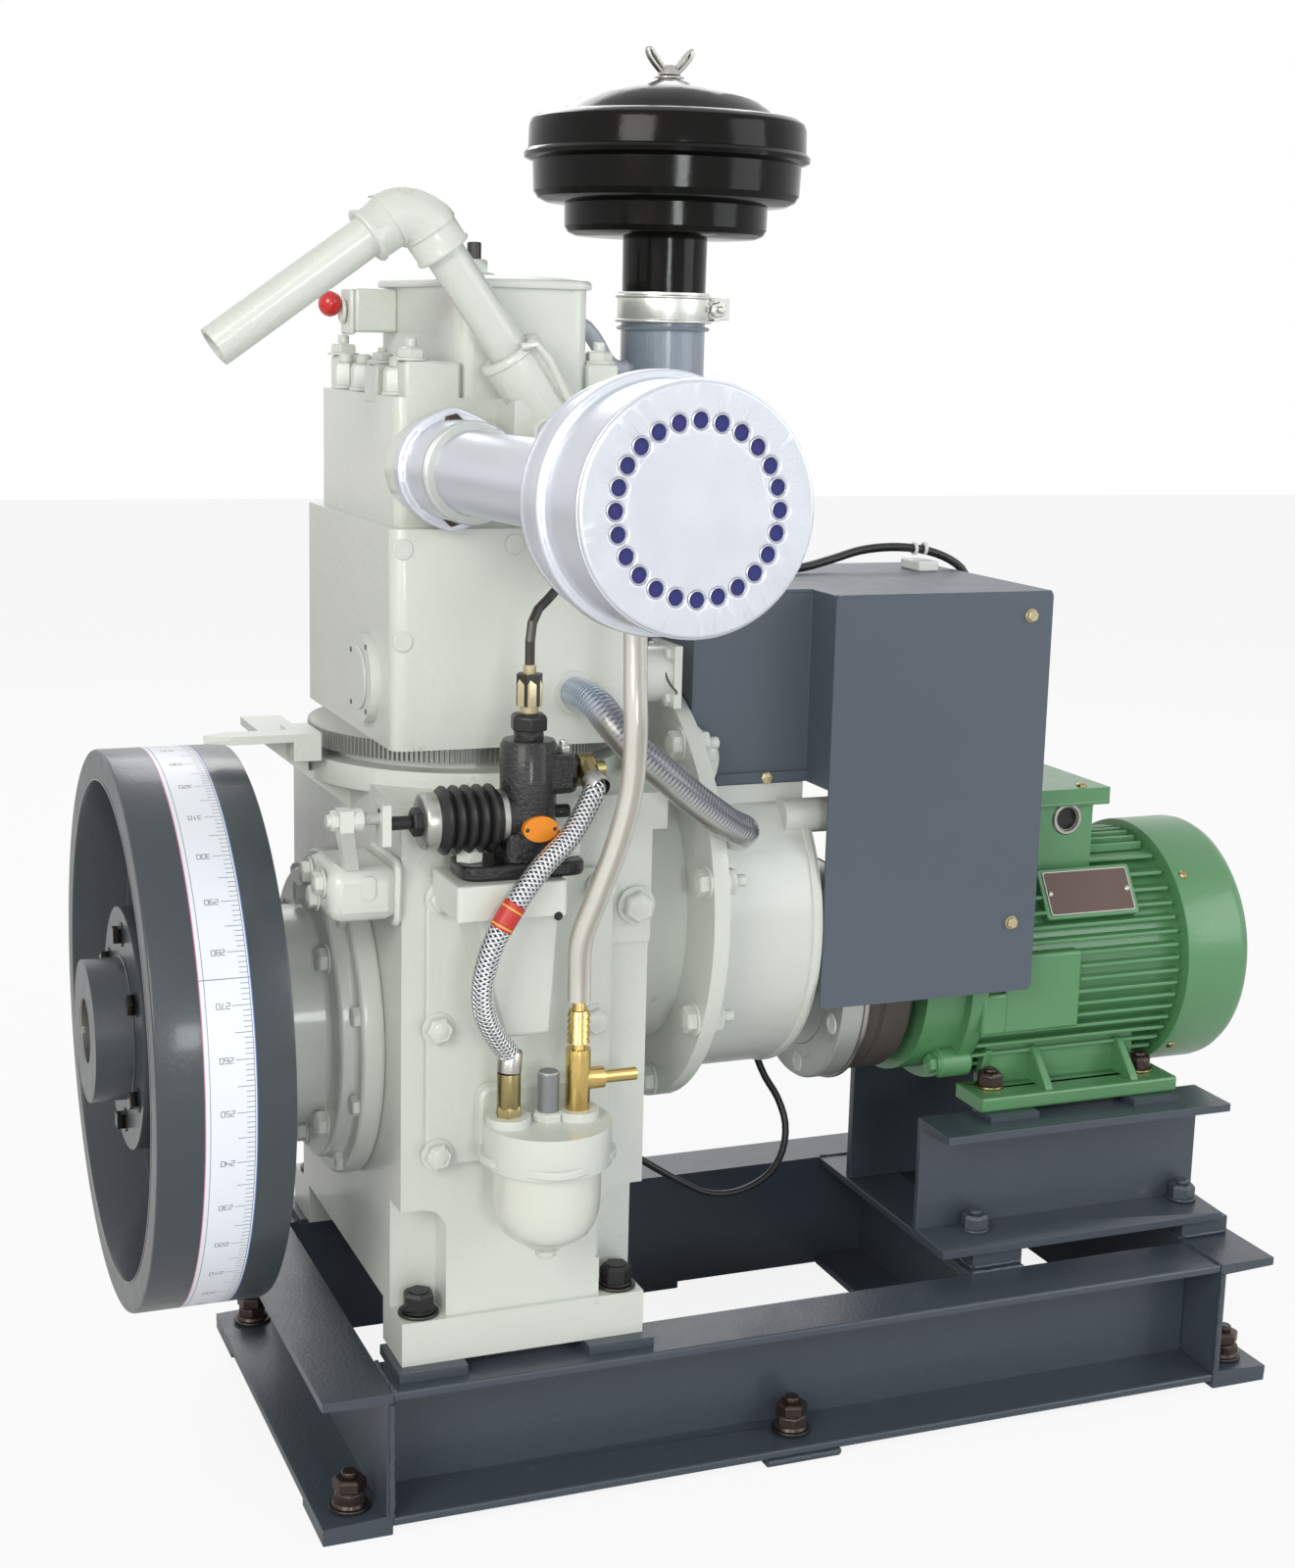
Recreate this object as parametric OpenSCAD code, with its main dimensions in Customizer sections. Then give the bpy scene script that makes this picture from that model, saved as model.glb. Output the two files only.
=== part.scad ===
// Engine test rig: a single-cylinder variable-compression engine and a motor on one welded frame.
// +X runs along the crankshaft to the motor, -Y is the front, Z = 0 is the floor.

/* [Base frame] */
// Length of the frame over the end channels
frame_l = 780; // [740:10:860]
// Width of the frame over the long rails
frame_w = 368; // [356:4:420]
// Depth of the rolled channel
rail_h = 100; // [80:5:120]
// Flange width of the rolled channel
rail_b = 50; // [45:1:60]
// Web thickness of the rolled channel
rail_web = 5; // [4:0.5:8]
// Thickness of the pads under the frame
pad_t = 6; // [4:1:12]
// Diameter of the anchor holes
anchor_d = 14; // [12:1:18]

/* [Engine] */
// Height of the crankshaft above the floor
shaft_z = 326; // [322:1:340]
// Length of the crankcase along the crankshaft
case_l = 180; // [170:2:190]
// Width of the crankcase across the crankshaft
case_w = 314; // [300:2:330]
// Height of the crankcase deck above the crankshaft
deck_h = 185; // [180:1:190]
// Length of the cylinder block along the crankshaft
block_l = 174; // [164:2:184]
// Width of the cylinder block across the crankshaft
block_w = 244; // [236:2:250]
// Height of the cylinder block
block_h = 150; // [135:1:165]
// Height of the cylinder head
head_h = 86; // [80:1:95]
// Height of the rocker box without its lid
rocker_h = 73; // [60:1:80]
// Diameter of the crankshaft
shaft_d = 45; // [36:1:50]

/* [Flywheel] */
// Diameter of the flywheel
wheel_d = 400; // [360:5:405]
// Width of the flywheel rim
wheel_w = 91; // [80:1:95]
// Thickness of the flywheel rim
rim_t = 22; // [16:1:30]

/* [Motor] */
// Height of the motor shaft above its feet
motor_h = 100; // [98:1:106]
// Diameter of the fan cowl
cowl_d = 206; // [196:2:214]
// Distance between the foot bolts along the motor
foot_b = 140; // [130:1:150]
// Distance between the foot bolts across the motor
foot_a = 160; // [154:1:176]

/* [Exhaust and intake] */
// Outside diameter of the exhaust pipe
exhaust_d = 54; // [50:1:64]
// Length of the exhaust pipe from the head to the drum
exhaust_l = 330; // [200:1:380]
// Upward slope of the exhaust pipe
exhaust_tilt = 0.9; // [0:0.1:4]
// Diameter of the silencer drum
drum_d = 128; // [116:2:140]
// Number of holes in the silencer end plate
drum_holes = 24; // [16:1:28]
// Diameter of the air cleaner cap
cleaner_d = 210; // [190:2:220]
// Outside diameter of the intake pipe
intake_d = 62; // [54:1:64]

/* [Water outlet] */
// Outside diameter of the water outlet pipe
water_d = 27; // [22:1:30]
// Slope of the free pipe below the horizontal
water_tilt = 36; // [30:1:40]

/* [Hidden] */
$fn = 64;
eps = 0.01;
running = 0.05;

// Frame
rail_root = 8.5;
rail_tip = 6.5;
rail_z = pad_t;
top_z = pad_t + rail_h;
end_x = frame_l / 2 - rail_b;
side_y = frame_w / 2 - rail_b;
mid_x = 189;
anchor_in = rail_b / 2;
anchor_y = frame_w / 2 - 24;
anchor_mid_x = -24;
pad_l = 60;

// Crankcase and its feet
engine_x = -238;
pack_t = 7;
pack_l = 50;
pack_w = 52;
pack_x = 70;
pack_in = 10;
foot_z = top_z + pack_t;
foot_t = 32;
foot_d = 50;
foot_lip = 5;
foot_bolt_x = 74;
foot_bolt_d = 14;
foot_bolt_in = 10;
case_z = foot_z + foot_t;
deck_z = shaft_z + deck_h;
case_x0 = engine_x - case_l / 2;
case_x1 = engine_x + case_l / 2;
case_y = case_w / 2;
pocket_w = 33;
pocket_d = 27;
pocket_h = 62;
pocket_r = 18;
collar_r = 118;
collar_h = 11;
collar_drop = 6;
neck_r = 100;
gear_gap = 6;
gear_r = 113;
gear_t = 13;
gear_bore_r = 80;
gear_z = deck_z + collar_h + gear_gap;
shoulder_w = 11;
shoulder_h = 26;
shoulder_l = 120;
recess_w = 36;
recess_t = 4;
recess_z0 = case_z + 28;
recess_z1 = shaft_z + 79;
bore_d = shaft_d + 2 * running;
case_bore_d = shaft_d + 14;

// Pointer shelf on the crankcase, its block and the pointer
shelf_x = 60;
shelf_y0 = -20;
shelf_y1 = 70;
shelf_top = 25;
shelf_t = 6;
shelf_drop = 29;
shelf_in = collar_r - (engine_x - case_x0) + 2;
shelf_z = deck_z + shelf_top;
pointer_t = 6;
pointer_y = -34;
pointer_w = 20;
pointer_tip_x = case_x0 - 108;
pointer_end_x = case_x0 - 26;
pointer_point = 18;
pointer_block = 14;

// Cylinder block, head and rocker box
block_z = gear_z + gear_t;
block_r = 10;
head_z = block_z + block_h;
head_l = block_l - 14;
head_w = block_w - 40;
head_r = 8;
rocker_z = head_z + head_h;
rocker_l = 94;
rocker_w = head_w - 4;
rocker_r = 12;
rocker_x = engine_x + 11;
lid_z = rocker_z + rocker_h;
lid_t = 8;
lid_lip = 4;
stud_d = 10;
stud_boss_d = 22;
stud_boss_h = 8;
stud_h = 24;
block_cover_d = 62;
block_cover_t = 7;
block_cover_y = -62;
block_cover_z = block_z + 42;
side_boss_d = 41;
side_boss_l = 41;
side_boss_y = -75;
side_boss_z = block_z + 40;
side_plate_w = 45;
side_plate_t = 6;
inlet_d = 30;
inlet_x = engine_x + 42;
inlet_z = block_z + 37;
inlet_l = 6;

// Side cover towards the flywheel
cover_ring_d = 240;
cover_mid_d = 214;
cover_hub_d = 160;
cover_x2 = case_x0 - 17;
cover_x1 = cover_x2 - 12;
cover_x0 = cover_x1 - 43;

// Flywheel and hub
wheel_x = -500;
hub_x = -516;
hub_d = 102;
hub_l = 27;
hub_flange_d = 174;
hub_flange_t = 12;
hub_bore_d = 48;
hub_bore_l = 22;
web_x = -457;
web_t = 20;
boss_d = 140;
boss_x1 = -427;
window_d = 66;
window_r = 122;
wheel_windows = 6;

// Bell housing
bell_x0 = -103;
bell_t = 12;
bell_d = 334;
bell_z = shaft_z + 84;
bell_neck_d = 236;
bell_neck_z = bell_z - 5;
drum_bell_d = 254;
drum_bell_z = shaft_z + 62;
bell_x1 = 2;
bell_pad_x = 20;
bell_pad_w = 168;
bell_pad_z = shaft_z + 171;
lug_l = 22;
lug_d = 26;
lug_y = -92;
lug_z = shaft_z + 147;
bell_boss_d = 36;
bell_boss_l = 50;

// Coupling and motor
disc_x = 41;
disc_t = 24;
disc_d = 176;
rubber_t = 42;
rubber_d = 168;
motor_x = 116;
motor_shaft_d = 28;
motor_shaft_in = 40;
shield_t = 34;
shield_d = 176;
frame_d = 196;
ring_t = 14;
core_d = 180;
cowl_x = 346;
cowl_l = 67;
motor_bolt_x = 180;
motor_mid_x = motor_bolt_x + foot_b / 2;
motor_foot_z = shaft_z - motor_h;
motor_foot_l = 182;
motor_foot_t = 12;
motor_foot_w = 44;
motor_foot_rib = 16;
motor_foot_in = 18;
motor_rib_h = 46;
motor_hole_d = 12;
shim_t = 5;
shim_l = 44;
shim_w = 30;
stand_z = motor_foot_z - shim_t - rail_h;
stand_x0 = 114;
stand_end_in = 16;
stand_l = frame_l / 2 - stand_end_in - stand_x0;
stand_y = foot_a / 2 + 5;
packing_l = 44;
packing_w = 44;
rear_plate_t = 8;
rear_cut = 27;
rear_over = 12;
terminal_x0 = 165;
terminal_x1 = 277;
terminal_y = 55;
terminal_z = shaft_z + 70;
terminal_h = 64;
terminal_lid_t = 13;
lid_over = 5;
lid_end = 12;
gland_d = 19;
gland_l = 25;
gland_x = 253;
gland_z = shaft_z + 122;

// Control box
box_x0 = -90;
box_x1 = 185;
box_y1 = 86;
box_bay_x = 4;
box_bay_y = -122;
box_z1 = 641;
box_y0 = -84;
panel_t = 2;
panel_z = 331;

// Exhaust
port_x = -287;
exhaust_turn = 0.4;
port_out = 22;
port_z = head_z + 40;
port_d = 72;
exhaust_wall = 4;
flange_t = 12;
flange_lobe = 29;
flange_lobe_d = 24;
flange_d = 78;
neck_d = 66;
neck_l = 42;
drum_l = 86;
drum_wall = 2;
drum_band_l = 12;
drum_band_out = 5;
drum_band_y = 26;
hole_ring_r = 44.5;
hole_d = 8.4;
port_y = -head_w / 2 - port_out;

// Intake pipe and air cleaner
cleaner_x = -86;
cleaner_y = 0;
intake_z = rocker_z - 39;
intake_r = 42;
intake_top = 840;
clamp_z = intake_top - 10;
clamp_l = 22;
clamp_t = 3;
clamp_bolt_l = 18;
clamp_bolt_w = 20;
step_z = 893;
step_d = 150;
bowl_z = 916;
bowl_in = 15;
cap_z = 955;
cap_l = 21;
dome_r = 122;
dome_h = 27;
dome_in = 8;
crown_d = 24;
crown_h = 1.5;
screw_d = 6;
wing_d = 14;
wing_h = 8;
wing_l = 26;
wing_t = 4;
wing_w = 12;
wing_lean = 32;

// Water outlet
elbow = [-314, -126, 901];
arm_free_l = 159;
arm_head_l = 115;
arm_wall = 3;
arm_ball = 12;
arm_sleeve = 9;
arm_sleeve_l = 36;
bend_r = (water_d + arm_ball) / 2 + 1;
socket_over = 16;
socket_l = 50;
socket_x0 = -248;
socket_x1 = -206;
socket_h = 44;
socket_y = elbow[1] - 16;
plug_d = 20;
plug_l = 10;

// Decompression lever
decomp_x = -309;
decomp_y = 66;
decomp_z = lid_z - 17;
decomp_d = 32;
spindle_d = 10;
spindle_l = 30;
lever_d = 18;
lever_rod_d = 7;
knob_d = 17;
knob_up = 5;
knob_x = decomp_x - 11;
lever_t = 7;

// Routes of the hoses, wires and small pipes
fuel_hose_d = 15;
fuel_route = [
    [-213, -206, 533], [-213, -214, 528], [-232, -222, 500], [-254, -229, 482], [-273, -232, 459],
    [-287, -232, 435], [-293, -228, 409], [-290, -221, 384], [-278, -213, 362], [-268, -208, 349],
    [-268, -208, 337]
];
return_hose_d = 16;
return_route = [
    [-219, -208, 382], [-219, -208, 398], [-221, -216, 428], [-213, -226, 462], [-203, -233, 498],
    [-196, -236, 532], [-194, -236, 566], [-193, -231, 600], [-190, -221, 634], [-184, -203, 660],
    [-178, -178, 684], [-174, -156, 702], [-172, -142, 708], [-172, -128, 708]
];
water_hose_d = 23;
water_route = [
    [-196, -128, 578], [-196, -146, 578], [-194, -165, 575], [-188, -180, 564], [-176, -189, 549],
    [-156, -192, 532], [-134, -189, 514], [-113, -183, 499], [-97, -174, 489], [-83, -165, 482],
    [-75, -144, 474], [-74, -124, 470], [-74, -109, 470]
];
breather_hose_d = 12;
breather_route = [
    [-180, -16, 830], [-166, -16, 830], [-152, -14, 825], [-141, -11, 813], [-134, -8, 803],
    [-126, -8, 797], [-117, -8, 797]
];
sensor_wire_d = 6;
sensor_route = [
    [2, 40, 274], [14, 40, 271], [25, 40, 258], [30, 39, 240], [36, 35, 224], [46, 30, 206],
    [50, 22, 186], [45, 15, 166], [32, 10, 150], [14, 8, 141], [-6, 6, 138], [-28, 4, 142],
    [-50, 4, 154], [-72, 6, 168], [-96, 8, 184], [-122, 10, 198], [-148, 12, 204]
];
box_cable_d = 7;
cable_route = [
    [-158, -62, 736], [-140, -62, 736], [-122, -60, 718], [-104, -54, 690], [-86, -42, 666],
    [-64, -28, 651], [-38, -14, 645], [-10, -2, 645], [18, 8, 645], [46, 18, 646], [74, 26, 651],
    [102, 32, 657], [130, 34, 659], [156, 34, 657], [178, 34, 651], [195, 34, 641], [204, 34, 626],
    [204, 34, 611], [196, 34, 602], [185, 34, 602]
];
injector_pipe_d = 6.5;
injector_route = [
    [-252, -192, 602], [-252, -192, 624], [-250, -190, 636], [-244, -184, 644], [-234, -174, 649],
    [-222, -160, 655], [-213, -148, 666], [-208, -139, 682], [-206, -132, 698], [-206, -120, 706],
    [-206, -102, 706]
];
leak_pipe_d = 5;
leak_route = [
    [-246, -149, 812], [-236, -151, 814], [-227, -151, 804], [-214, -150, 780], [-200, -145, 756],
    [-186, -136, 736], [-179, -124, 726], [-178, -114, 724], [-178, -102, 724]
];

// Fuel pump, bracket and governor
pump_x = -252;
pump_y = -192;
pump_z = 470;
cover_t = 6;
cover_l = 134;
cover_in = 16;
cover_z0 = shaft_z - 68;
cover_z1 = shaft_z + 136;
bracket_x0 = -309;
bracket_x1 = -233;
bracket_y = -222;
bracket_t = 24;
bracket_low_z = shaft_z + 32;
bracket_low_t = 6;
bracket_low = [[-294, -236, -212], [-268, -237, -200]];
pump_flange = [-50, 36];
pump_flange_w = 44;
pump_flange_t = 10;
pump_barrel_d = 38;
pump_barrel_h = 88;
pump_base_h = 30;
pump_side_x = -20;
pump_side_d = 34;
pump_head = [0, 31];
pump_head_w = 30;
pump_head_z = 53;
pump_head_h = 27;
pump_neck_d = 20;
pump_neck_h = 96;
pump_hex_d = 25;
pump_hex_h = 11;
delivery_d = 18;
delivery_h = 20;
delivery_neck_d = 13;
delivery_z = injector_route[0][2];
banjo_z = fuel_route[0][2] + 4;
banjo_x = fuel_route[0][0];
banjo_bolt_d = 12;
banjo_bolt_l = 22;
banjo_ring_d = 22;
banjo_ring_l = 10;
bellows_z = 508;
bellows_d = 46;
bellows_x0 = -316;
bellows_step = 8;
bellows_cap = 10;
bellows_tip_x = bellows_x0 - 18;
bellows_tip_d = 18;
link_foot = [-362, -154];
link_foot_w = 9;
link_x = -376;
link_w = 9;
link_eye = 14;
link_eye_z = bellows_z + 4;
link_rod_d = 8;
link_rod_x = -388;
link_nut_l = 7;
clevis_x = -353;
clevis_t = 6;
clevis_w = 16;
clevis_h = 27;
gov_x0 = -378;
gov_y0 = -162;
gov_y1 = -92;
gov_z0 = 438;
gov_z1 = 470;
gov_plate_t = 6;
gov_plate = [[-148, 449], [-104, 476], [-80, 470], [-78, 404], [-96, 404]];

// Fuel filter and tee
filter_x = -240;
filter_y = -208;
filter_z = 273;
filter_head_d = 88;
filter_head_h = 28;
filter_boss_d = 30;
filter_boss_h = 34;
filter_stud_d = 14;
filter_stud_h = 62;
filter_arm_w = 50;
filter_arm_h = 30;
bowl_d = 74;
bowl_h = 28;
bowl_cone_d = 54;
bowl_cone_h = 24;
bowl_tip_d = 20;
bowl_tip_h = 12;
drain_d = 14;
drain_h = 6;
tee_x = filter_x + 21;
hose_x = filter_x - 28;

tee_d = 17;
tee_h = 42;
tee_barb_d = 9;
tee_side_z = 20;
tee_side_l = 18;
tee_side_barb_l = 42;

water_end = water_route[len(water_route) - 1];
return_end = return_route[len(return_route) - 1];
breather_end = breather_route[len(breather_route) - 1];
fuel_end = fuel_route[len(fuel_route) - 1];
barb_d = 12;

frame_grey = [0.24, 0.28, 0.32];
cast_cream = [0.80, 0.81, 0.77];
motor_green = [0.35, 0.6, 0.4];
silver = [0.75, 0.76, 0.78];
gloss_black = [0.06, 0.06, 0.07];
brass_yellow = [0.75, 0.6, 0.3];
wheel_grey = [0.3, 0.33, 0.35];
clear_grey = [0.75, 0.76, 0.74];
wire_black = [0.04, 0.04, 0.04];

// Section of a rolled channel: web back on x = 0, flanges towards +x.
module channel_section() {
    polygon([
        [0, 0], [rail_b, 0], [rail_b, rail_tip], [rail_web, rail_root],
        [rail_web, rail_h - rail_root], [rail_b, rail_h - rail_tip], [rail_b, rail_h], [0, rail_h]
    ]);
}

// Channel of a given length, centred along Y.
module channel_y(len) {
    rotate([90, 0, 0]) translate([0, 0, -len / 2]) linear_extrude(len) channel_section();
}

module anchor_hole(x, y) {
    translate([x, y, -1]) cylinder(d = anchor_d, h = pad_t + 2 * rail_root);
}

module box(x0, x1, y0, y1, z0, z1) {
    translate([x0, y0, z0]) cube([x1 - x0, y1 - y0, z1 - z0]);
}

// Block centred on (x, y) with upright edges of radius r.
module round_box(x, y, l, w, z0, z1, r) {
    translate([x, y, z0]) linear_extrude(z1 - z0) union() {
        square([l - 2 * r, w], center = true);
        square([l, w - 2 * r], center = true);
        for (sx = [-1, 1]) for (sy = [-1, 1])
            translate([sx * (l / 2 - r), sy * (w / 2 - r)]) circle(r);
    }
}

// Cylinder along X from x0 to x1 at height z.
module rod_x(x0, x1, d, y, z) {
    translate([x0, y, z]) rotate([0, 90, 0]) cylinder(d = d, h = x1 - x0);
}

// Cylinder along Y from y0 to y1 at height z.
module rod_y(y0, y1, d, x, z) {
    translate([x, y0, z]) rotate([-90, 0, 0]) cylinder(d = d, h = y1 - y0);
}

// Tube swept along a route: one ring at each point, carried along without twist.
function unit(v) = v / norm(v);
function last(p) = len(p) - 1;
function heading(p, i) = unit(p[min(i + 1, last(p))] - p[max(i - 1, 0)]);
function across(v, t) = unit(v - (v * t) * t);
function sides(p) = [
    for (i = 0, v = across([0.3, 0.2, 0.9], heading(p, 0)); i < len(p);
         i = i + 1, v = across(v, heading(p, min(i, last(p))))) v
];
module tube(p, d, n = 10) {
    s = sides(p);
    points = [
        for (i = [0 : last(p)]) let (t = heading(p, i), w = cross(t, s[i])) for (k = [0 : n - 1])
            p[i] + d / 2 * (cos(360 * k / n) * s[i] + sin(360 * k / n) * w)
    ];
    walls = [
        for (i = [0 : last(p) - 1]) for (k = [0 : n - 1])
            let (a = i * n + k, b = i * n + (k + 1) % n) each [[a, a + n, b + n], [a, b + n, b]]
    ];
    start = [for (k = [0 : n - 1]) k];
    end = [for (k = [n - 1 : -1 : 0]) last(p) * n + k];
    polyhedron(points = points, faces = concat([start], walls, [end]));
}

module left_channel() {
    color(frame_grey) difference() {
        translate([-end_x, 0, rail_z]) mirror([1, 0, 0]) channel_y(frame_w);
        for (s = [-1, 1]) anchor_hole(-end_x - anchor_in, s * anchor_y);
    }
}

module right_channel() {
    color(frame_grey) difference() {
        translate([end_x, 0, rail_z]) channel_y(frame_w);
        for (s = [-1, 1]) anchor_hole(end_x + anchor_in, s * anchor_y);
    }
}

module front_rail() {
    color(frame_grey) difference() {
        translate([0, -side_y, rail_z]) rotate([0, 0, -90]) channel_y(2 * end_x);
        anchor_hole(anchor_mid_x, -side_y - anchor_in);
    }
}

module rear_rail() {
    color(frame_grey) difference() {
        translate([0, side_y, rail_z]) rotate([0, 0, 90]) channel_y(2 * end_x);
        anchor_hole(anchor_mid_x, side_y + anchor_in);
    }
}

module mid_channel() {
    color(frame_grey) translate([mid_x, 0, rail_z]) mirror([1, 0, 0]) channel_y(2 * side_y);
}

module foot_pads() {
    color(frame_grey) difference() {
        union() {
            for (sx = [-1, 1]) for (sy = [-1, 1])
                translate([sx * (end_x + anchor_in), sy * (frame_w / 2 - pad_l / 2), pad_t / 2])
                    cube([rail_b, pad_l, pad_t], center = true);
            for (sy = [-1, 1])
                translate([anchor_mid_x, sy * (side_y + anchor_in), pad_t / 2])
                    cube([pad_l, rail_b, pad_t], center = true);
        }
        for (sx = [-1, 1]) for (sy = [-1, 1]) anchor_hole(sx * (end_x + anchor_in), sy * anchor_y);
        for (sy = [-1, 1]) anchor_hole(anchor_mid_x, sy * (side_y + anchor_in));
    }
}

module engine_packing() {
    color(frame_grey)
        for (sx = [-1, 1]) for (sy = [-1, 1])
            translate([engine_x + sx * pack_x, sy * (case_y - pack_in), top_z + pack_t / 2])
                cube([pack_l, pack_w, pack_t], center = true);
}

module motor_packing() {
    color(frame_grey) {
        for (x = [mid_x - packing_l, end_x])
            box(x, x + packing_l, -stand_y - packing_w, -stand_y, top_z, stand_z);
    }
}

module front_stand() {
    color(frame_grey)
        translate([stand_x0 + stand_l / 2, -stand_y, stand_z]) rotate([0, 0, -90]) channel_y(stand_l);
}

module rear_stand() {
    top = stand_z + rail_h;
    color(frame_grey) {
        box(stand_x0 + rear_cut, stand_x0 + stand_l, stand_y - rear_plate_t, stand_y, top_z, top);
        box(stand_x0 - rear_over, stand_x0 + stand_l, stand_y - rear_plate_t, stand_y + rail_b,
            top - rear_plate_t, top);
    }
}

module motor_shims() {
    color(frame_grey)
        for (sx = [-1, 1]) for (sy = [-1, 1])
            translate([motor_mid_x + sx * (foot_b / 2 - 4), sy * (stand_y + shim_w / 2 + 1),
                       motor_foot_z - shim_t / 2])
                cube([shim_l, shim_w, shim_t], center = true);
}

module pocket_cut(sx, sy) {
    x0 = sx < 0 ? case_x0 - 1 : case_x1 - pocket_w;
    y0 = sy < 0 ? -case_y - 1 : case_y - pocket_d;
    xr = sx < 0 ? case_x0 + pocket_w - pocket_r : case_x1 - pocket_w + pocket_r;
    zr = case_z + pocket_h;
    translate([x0, y0, case_z]) cube([pocket_w + 1, pocket_d + 1, pocket_h]);
    translate([sx < 0 ? case_x0 - 1 : xr, y0, zr - 1])
        cube([pocket_w + 1 - pocket_r, pocket_d + 1, pocket_r + 1]);
    translate([xr, y0, zr]) rotate([-90, 0, 0]) cylinder(r = pocket_r, h = pocket_d + 1);
}

module crankcase() {
    color(cast_cream) difference() {
        union() {
            box(case_x0, case_x1, -case_y, case_y, case_z, deck_z);
            for (sy = [-1, 1])
                translate([engine_x, sy * (case_y + foot_lip - foot_d / 2), foot_z + foot_t / 2])
                    cube([case_l, foot_d, foot_t], center = true);
            translate([engine_x, 0, deck_z - collar_drop])
                cylinder(r = collar_r, h = collar_h + collar_drop);
            translate([engine_x, 0, deck_z + collar_h - eps])
                cylinder(r = neck_r, h = gear_z - deck_z - collar_h + eps);
            rod_x(case_x1 - eps, bell_x0, bell_neck_d, 0, bell_neck_z);
            for (sy = [-1, 1])
                translate([case_x1 + shoulder_w / 2, sy * (case_y - shoulder_l / 2),
                           deck_z - shoulder_h / 2])
                    cube([shoulder_w + 2 * eps, shoulder_l, shoulder_h], center = true);
            pointer_shelf();
        }
        for (sx = [-1, 1]) for (sy = [-1, 1]) pocket_cut(sx, sy);
        for (sx = [-1, 1]) for (sy = [-1, 1])
            translate([engine_x + sx * foot_bolt_x, sy * (case_y - foot_bolt_in), foot_z - 1])
                cylinder(d = foot_bolt_d, h = foot_t + 2);
        for (sy = [-1, 1])
            translate([case_x1 - recess_w / 2 + 1, sy * case_y, (recess_z0 + recess_z1) / 2])
                cube([recess_w + 2, 2 * recess_t, recess_z1 - recess_z0], center = true);
        rod_x(case_x0 - 1, bell_x0 + 1, case_bore_d, 0, shaft_z);
    }
}

// Shelf that carries the pointer, braced down to the crankcase's left face.
module pointer_shelf() {
    translate([case_x0 + eps, shelf_y1, 0]) rotate([90, 0, 0]) linear_extrude(shelf_y1 - shelf_y0)
        polygon([
            [0, deck_z], [-shelf_in, deck_z], [-shelf_in, shelf_z], [-shelf_x, shelf_z],
            [-shelf_x, shelf_z - shelf_t], [0, deck_z - shelf_drop]
        ]);
}

module side_cover() {
    color(cast_cream) difference() {
        union() {
            rod_x(cover_x2, case_x0, cover_ring_d, 0, shaft_z);
            rod_x(cover_x1, cover_x2 + eps, cover_mid_d, 0, shaft_z);
            rod_x(cover_x0, cover_x1 + eps, cover_hub_d, 0, shaft_z);
        }
        rod_x(cover_x0 - 1, case_x0 + 1, bore_d, 0, shaft_z);
    }
}

module inspection_cover() {
    color(cast_cream)
        box(case_x0 + cover_in, case_x0 + cover_in + cover_l, -case_y - cover_t, -case_y,
            cover_z0, cover_z1);
}

module gear_ring() {
    color([0.5, 0.5, 0.5]) difference() {
        translate([engine_x, 0, gear_z]) cylinder(r = gear_r, h = gear_t);
        translate([engine_x, 0, gear_z - 1]) cylinder(r = gear_bore_r, h = gear_t + 2);
    }
}

module cylinder_block() {
    color(cast_cream) {
        round_box(engine_x, 0, block_l, block_w, block_z, head_z, block_r);
        rod_y(-block_w / 2 - inlet_l, -block_w / 2 + eps, inlet_d, inlet_x, inlet_z);
        rod_x(engine_x + block_l / 2 - eps, engine_x + block_l / 2 + side_boss_l, side_boss_d,
              side_boss_y, side_boss_z);
        translate([engine_x + block_l / 2 + side_boss_l + side_plate_t / 2 - eps, side_boss_y,
                   side_boss_z])
            cube([side_plate_t, side_plate_w, side_plate_w], center = true);
    }
}

module block_cover() {
    color(cast_cream)
        rod_x(engine_x - block_l / 2 - block_cover_t, engine_x - block_l / 2, block_cover_d,
              block_cover_y, block_cover_z);
}

module cylinder_head() {
    color(cast_cream) {
        round_box(engine_x, 0, head_l, head_w, head_z, rocker_z, head_r);
        exhaust_axis() translate([0, 0, -port_out - head_r]) cylinder(d = port_d, h = port_out + head_r);
        translate(elbow) rotate([0, 180 - water_tilt, 0]) translate([0, 0, arm_head_l])
            cylinder(d = water_d + socket_over, h = socket_l);
        box(socket_x0, socket_x1, socket_y, -head_w / 2 + eps, rocker_z - socket_h, rocker_z);
        rod_y(socket_y - plug_l, socket_y + eps, plug_d, socket_x0 + plug_d, rocker_z - plug_d);
        rod_y(return_end[1], -head_w / 2 + eps, barb_d, return_end[0], return_end[2]);
    }
}

module rocker_box() {
    color(cast_cream)
        round_box(rocker_x, 0, rocker_l, rocker_w, rocker_z, lid_z, rocker_r);
}

module rocker_lid() {
    color(cast_cream) {
        round_box(rocker_x, 0, rocker_l + 2 * lid_lip, rocker_w + 2 * lid_lip, lid_z, lid_z + lid_t,
                  rocker_r + lid_lip);
        translate([rocker_x, 0, lid_z + lid_t - eps]) cylinder(d = stud_boss_d, h = stud_boss_h);
        translate([rocker_x, 0, lid_z + lid_t]) cylinder(d = stud_d, h = stud_h);
    }
}

// Places a child along the free arm or the head arm of the outlet elbow.
module free_arm() {
    rotate([0, -90 - water_tilt, 0]) children();
}

module head_arm() {
    rotate([0, 180 - water_tilt, 0]) children();
}

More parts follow.
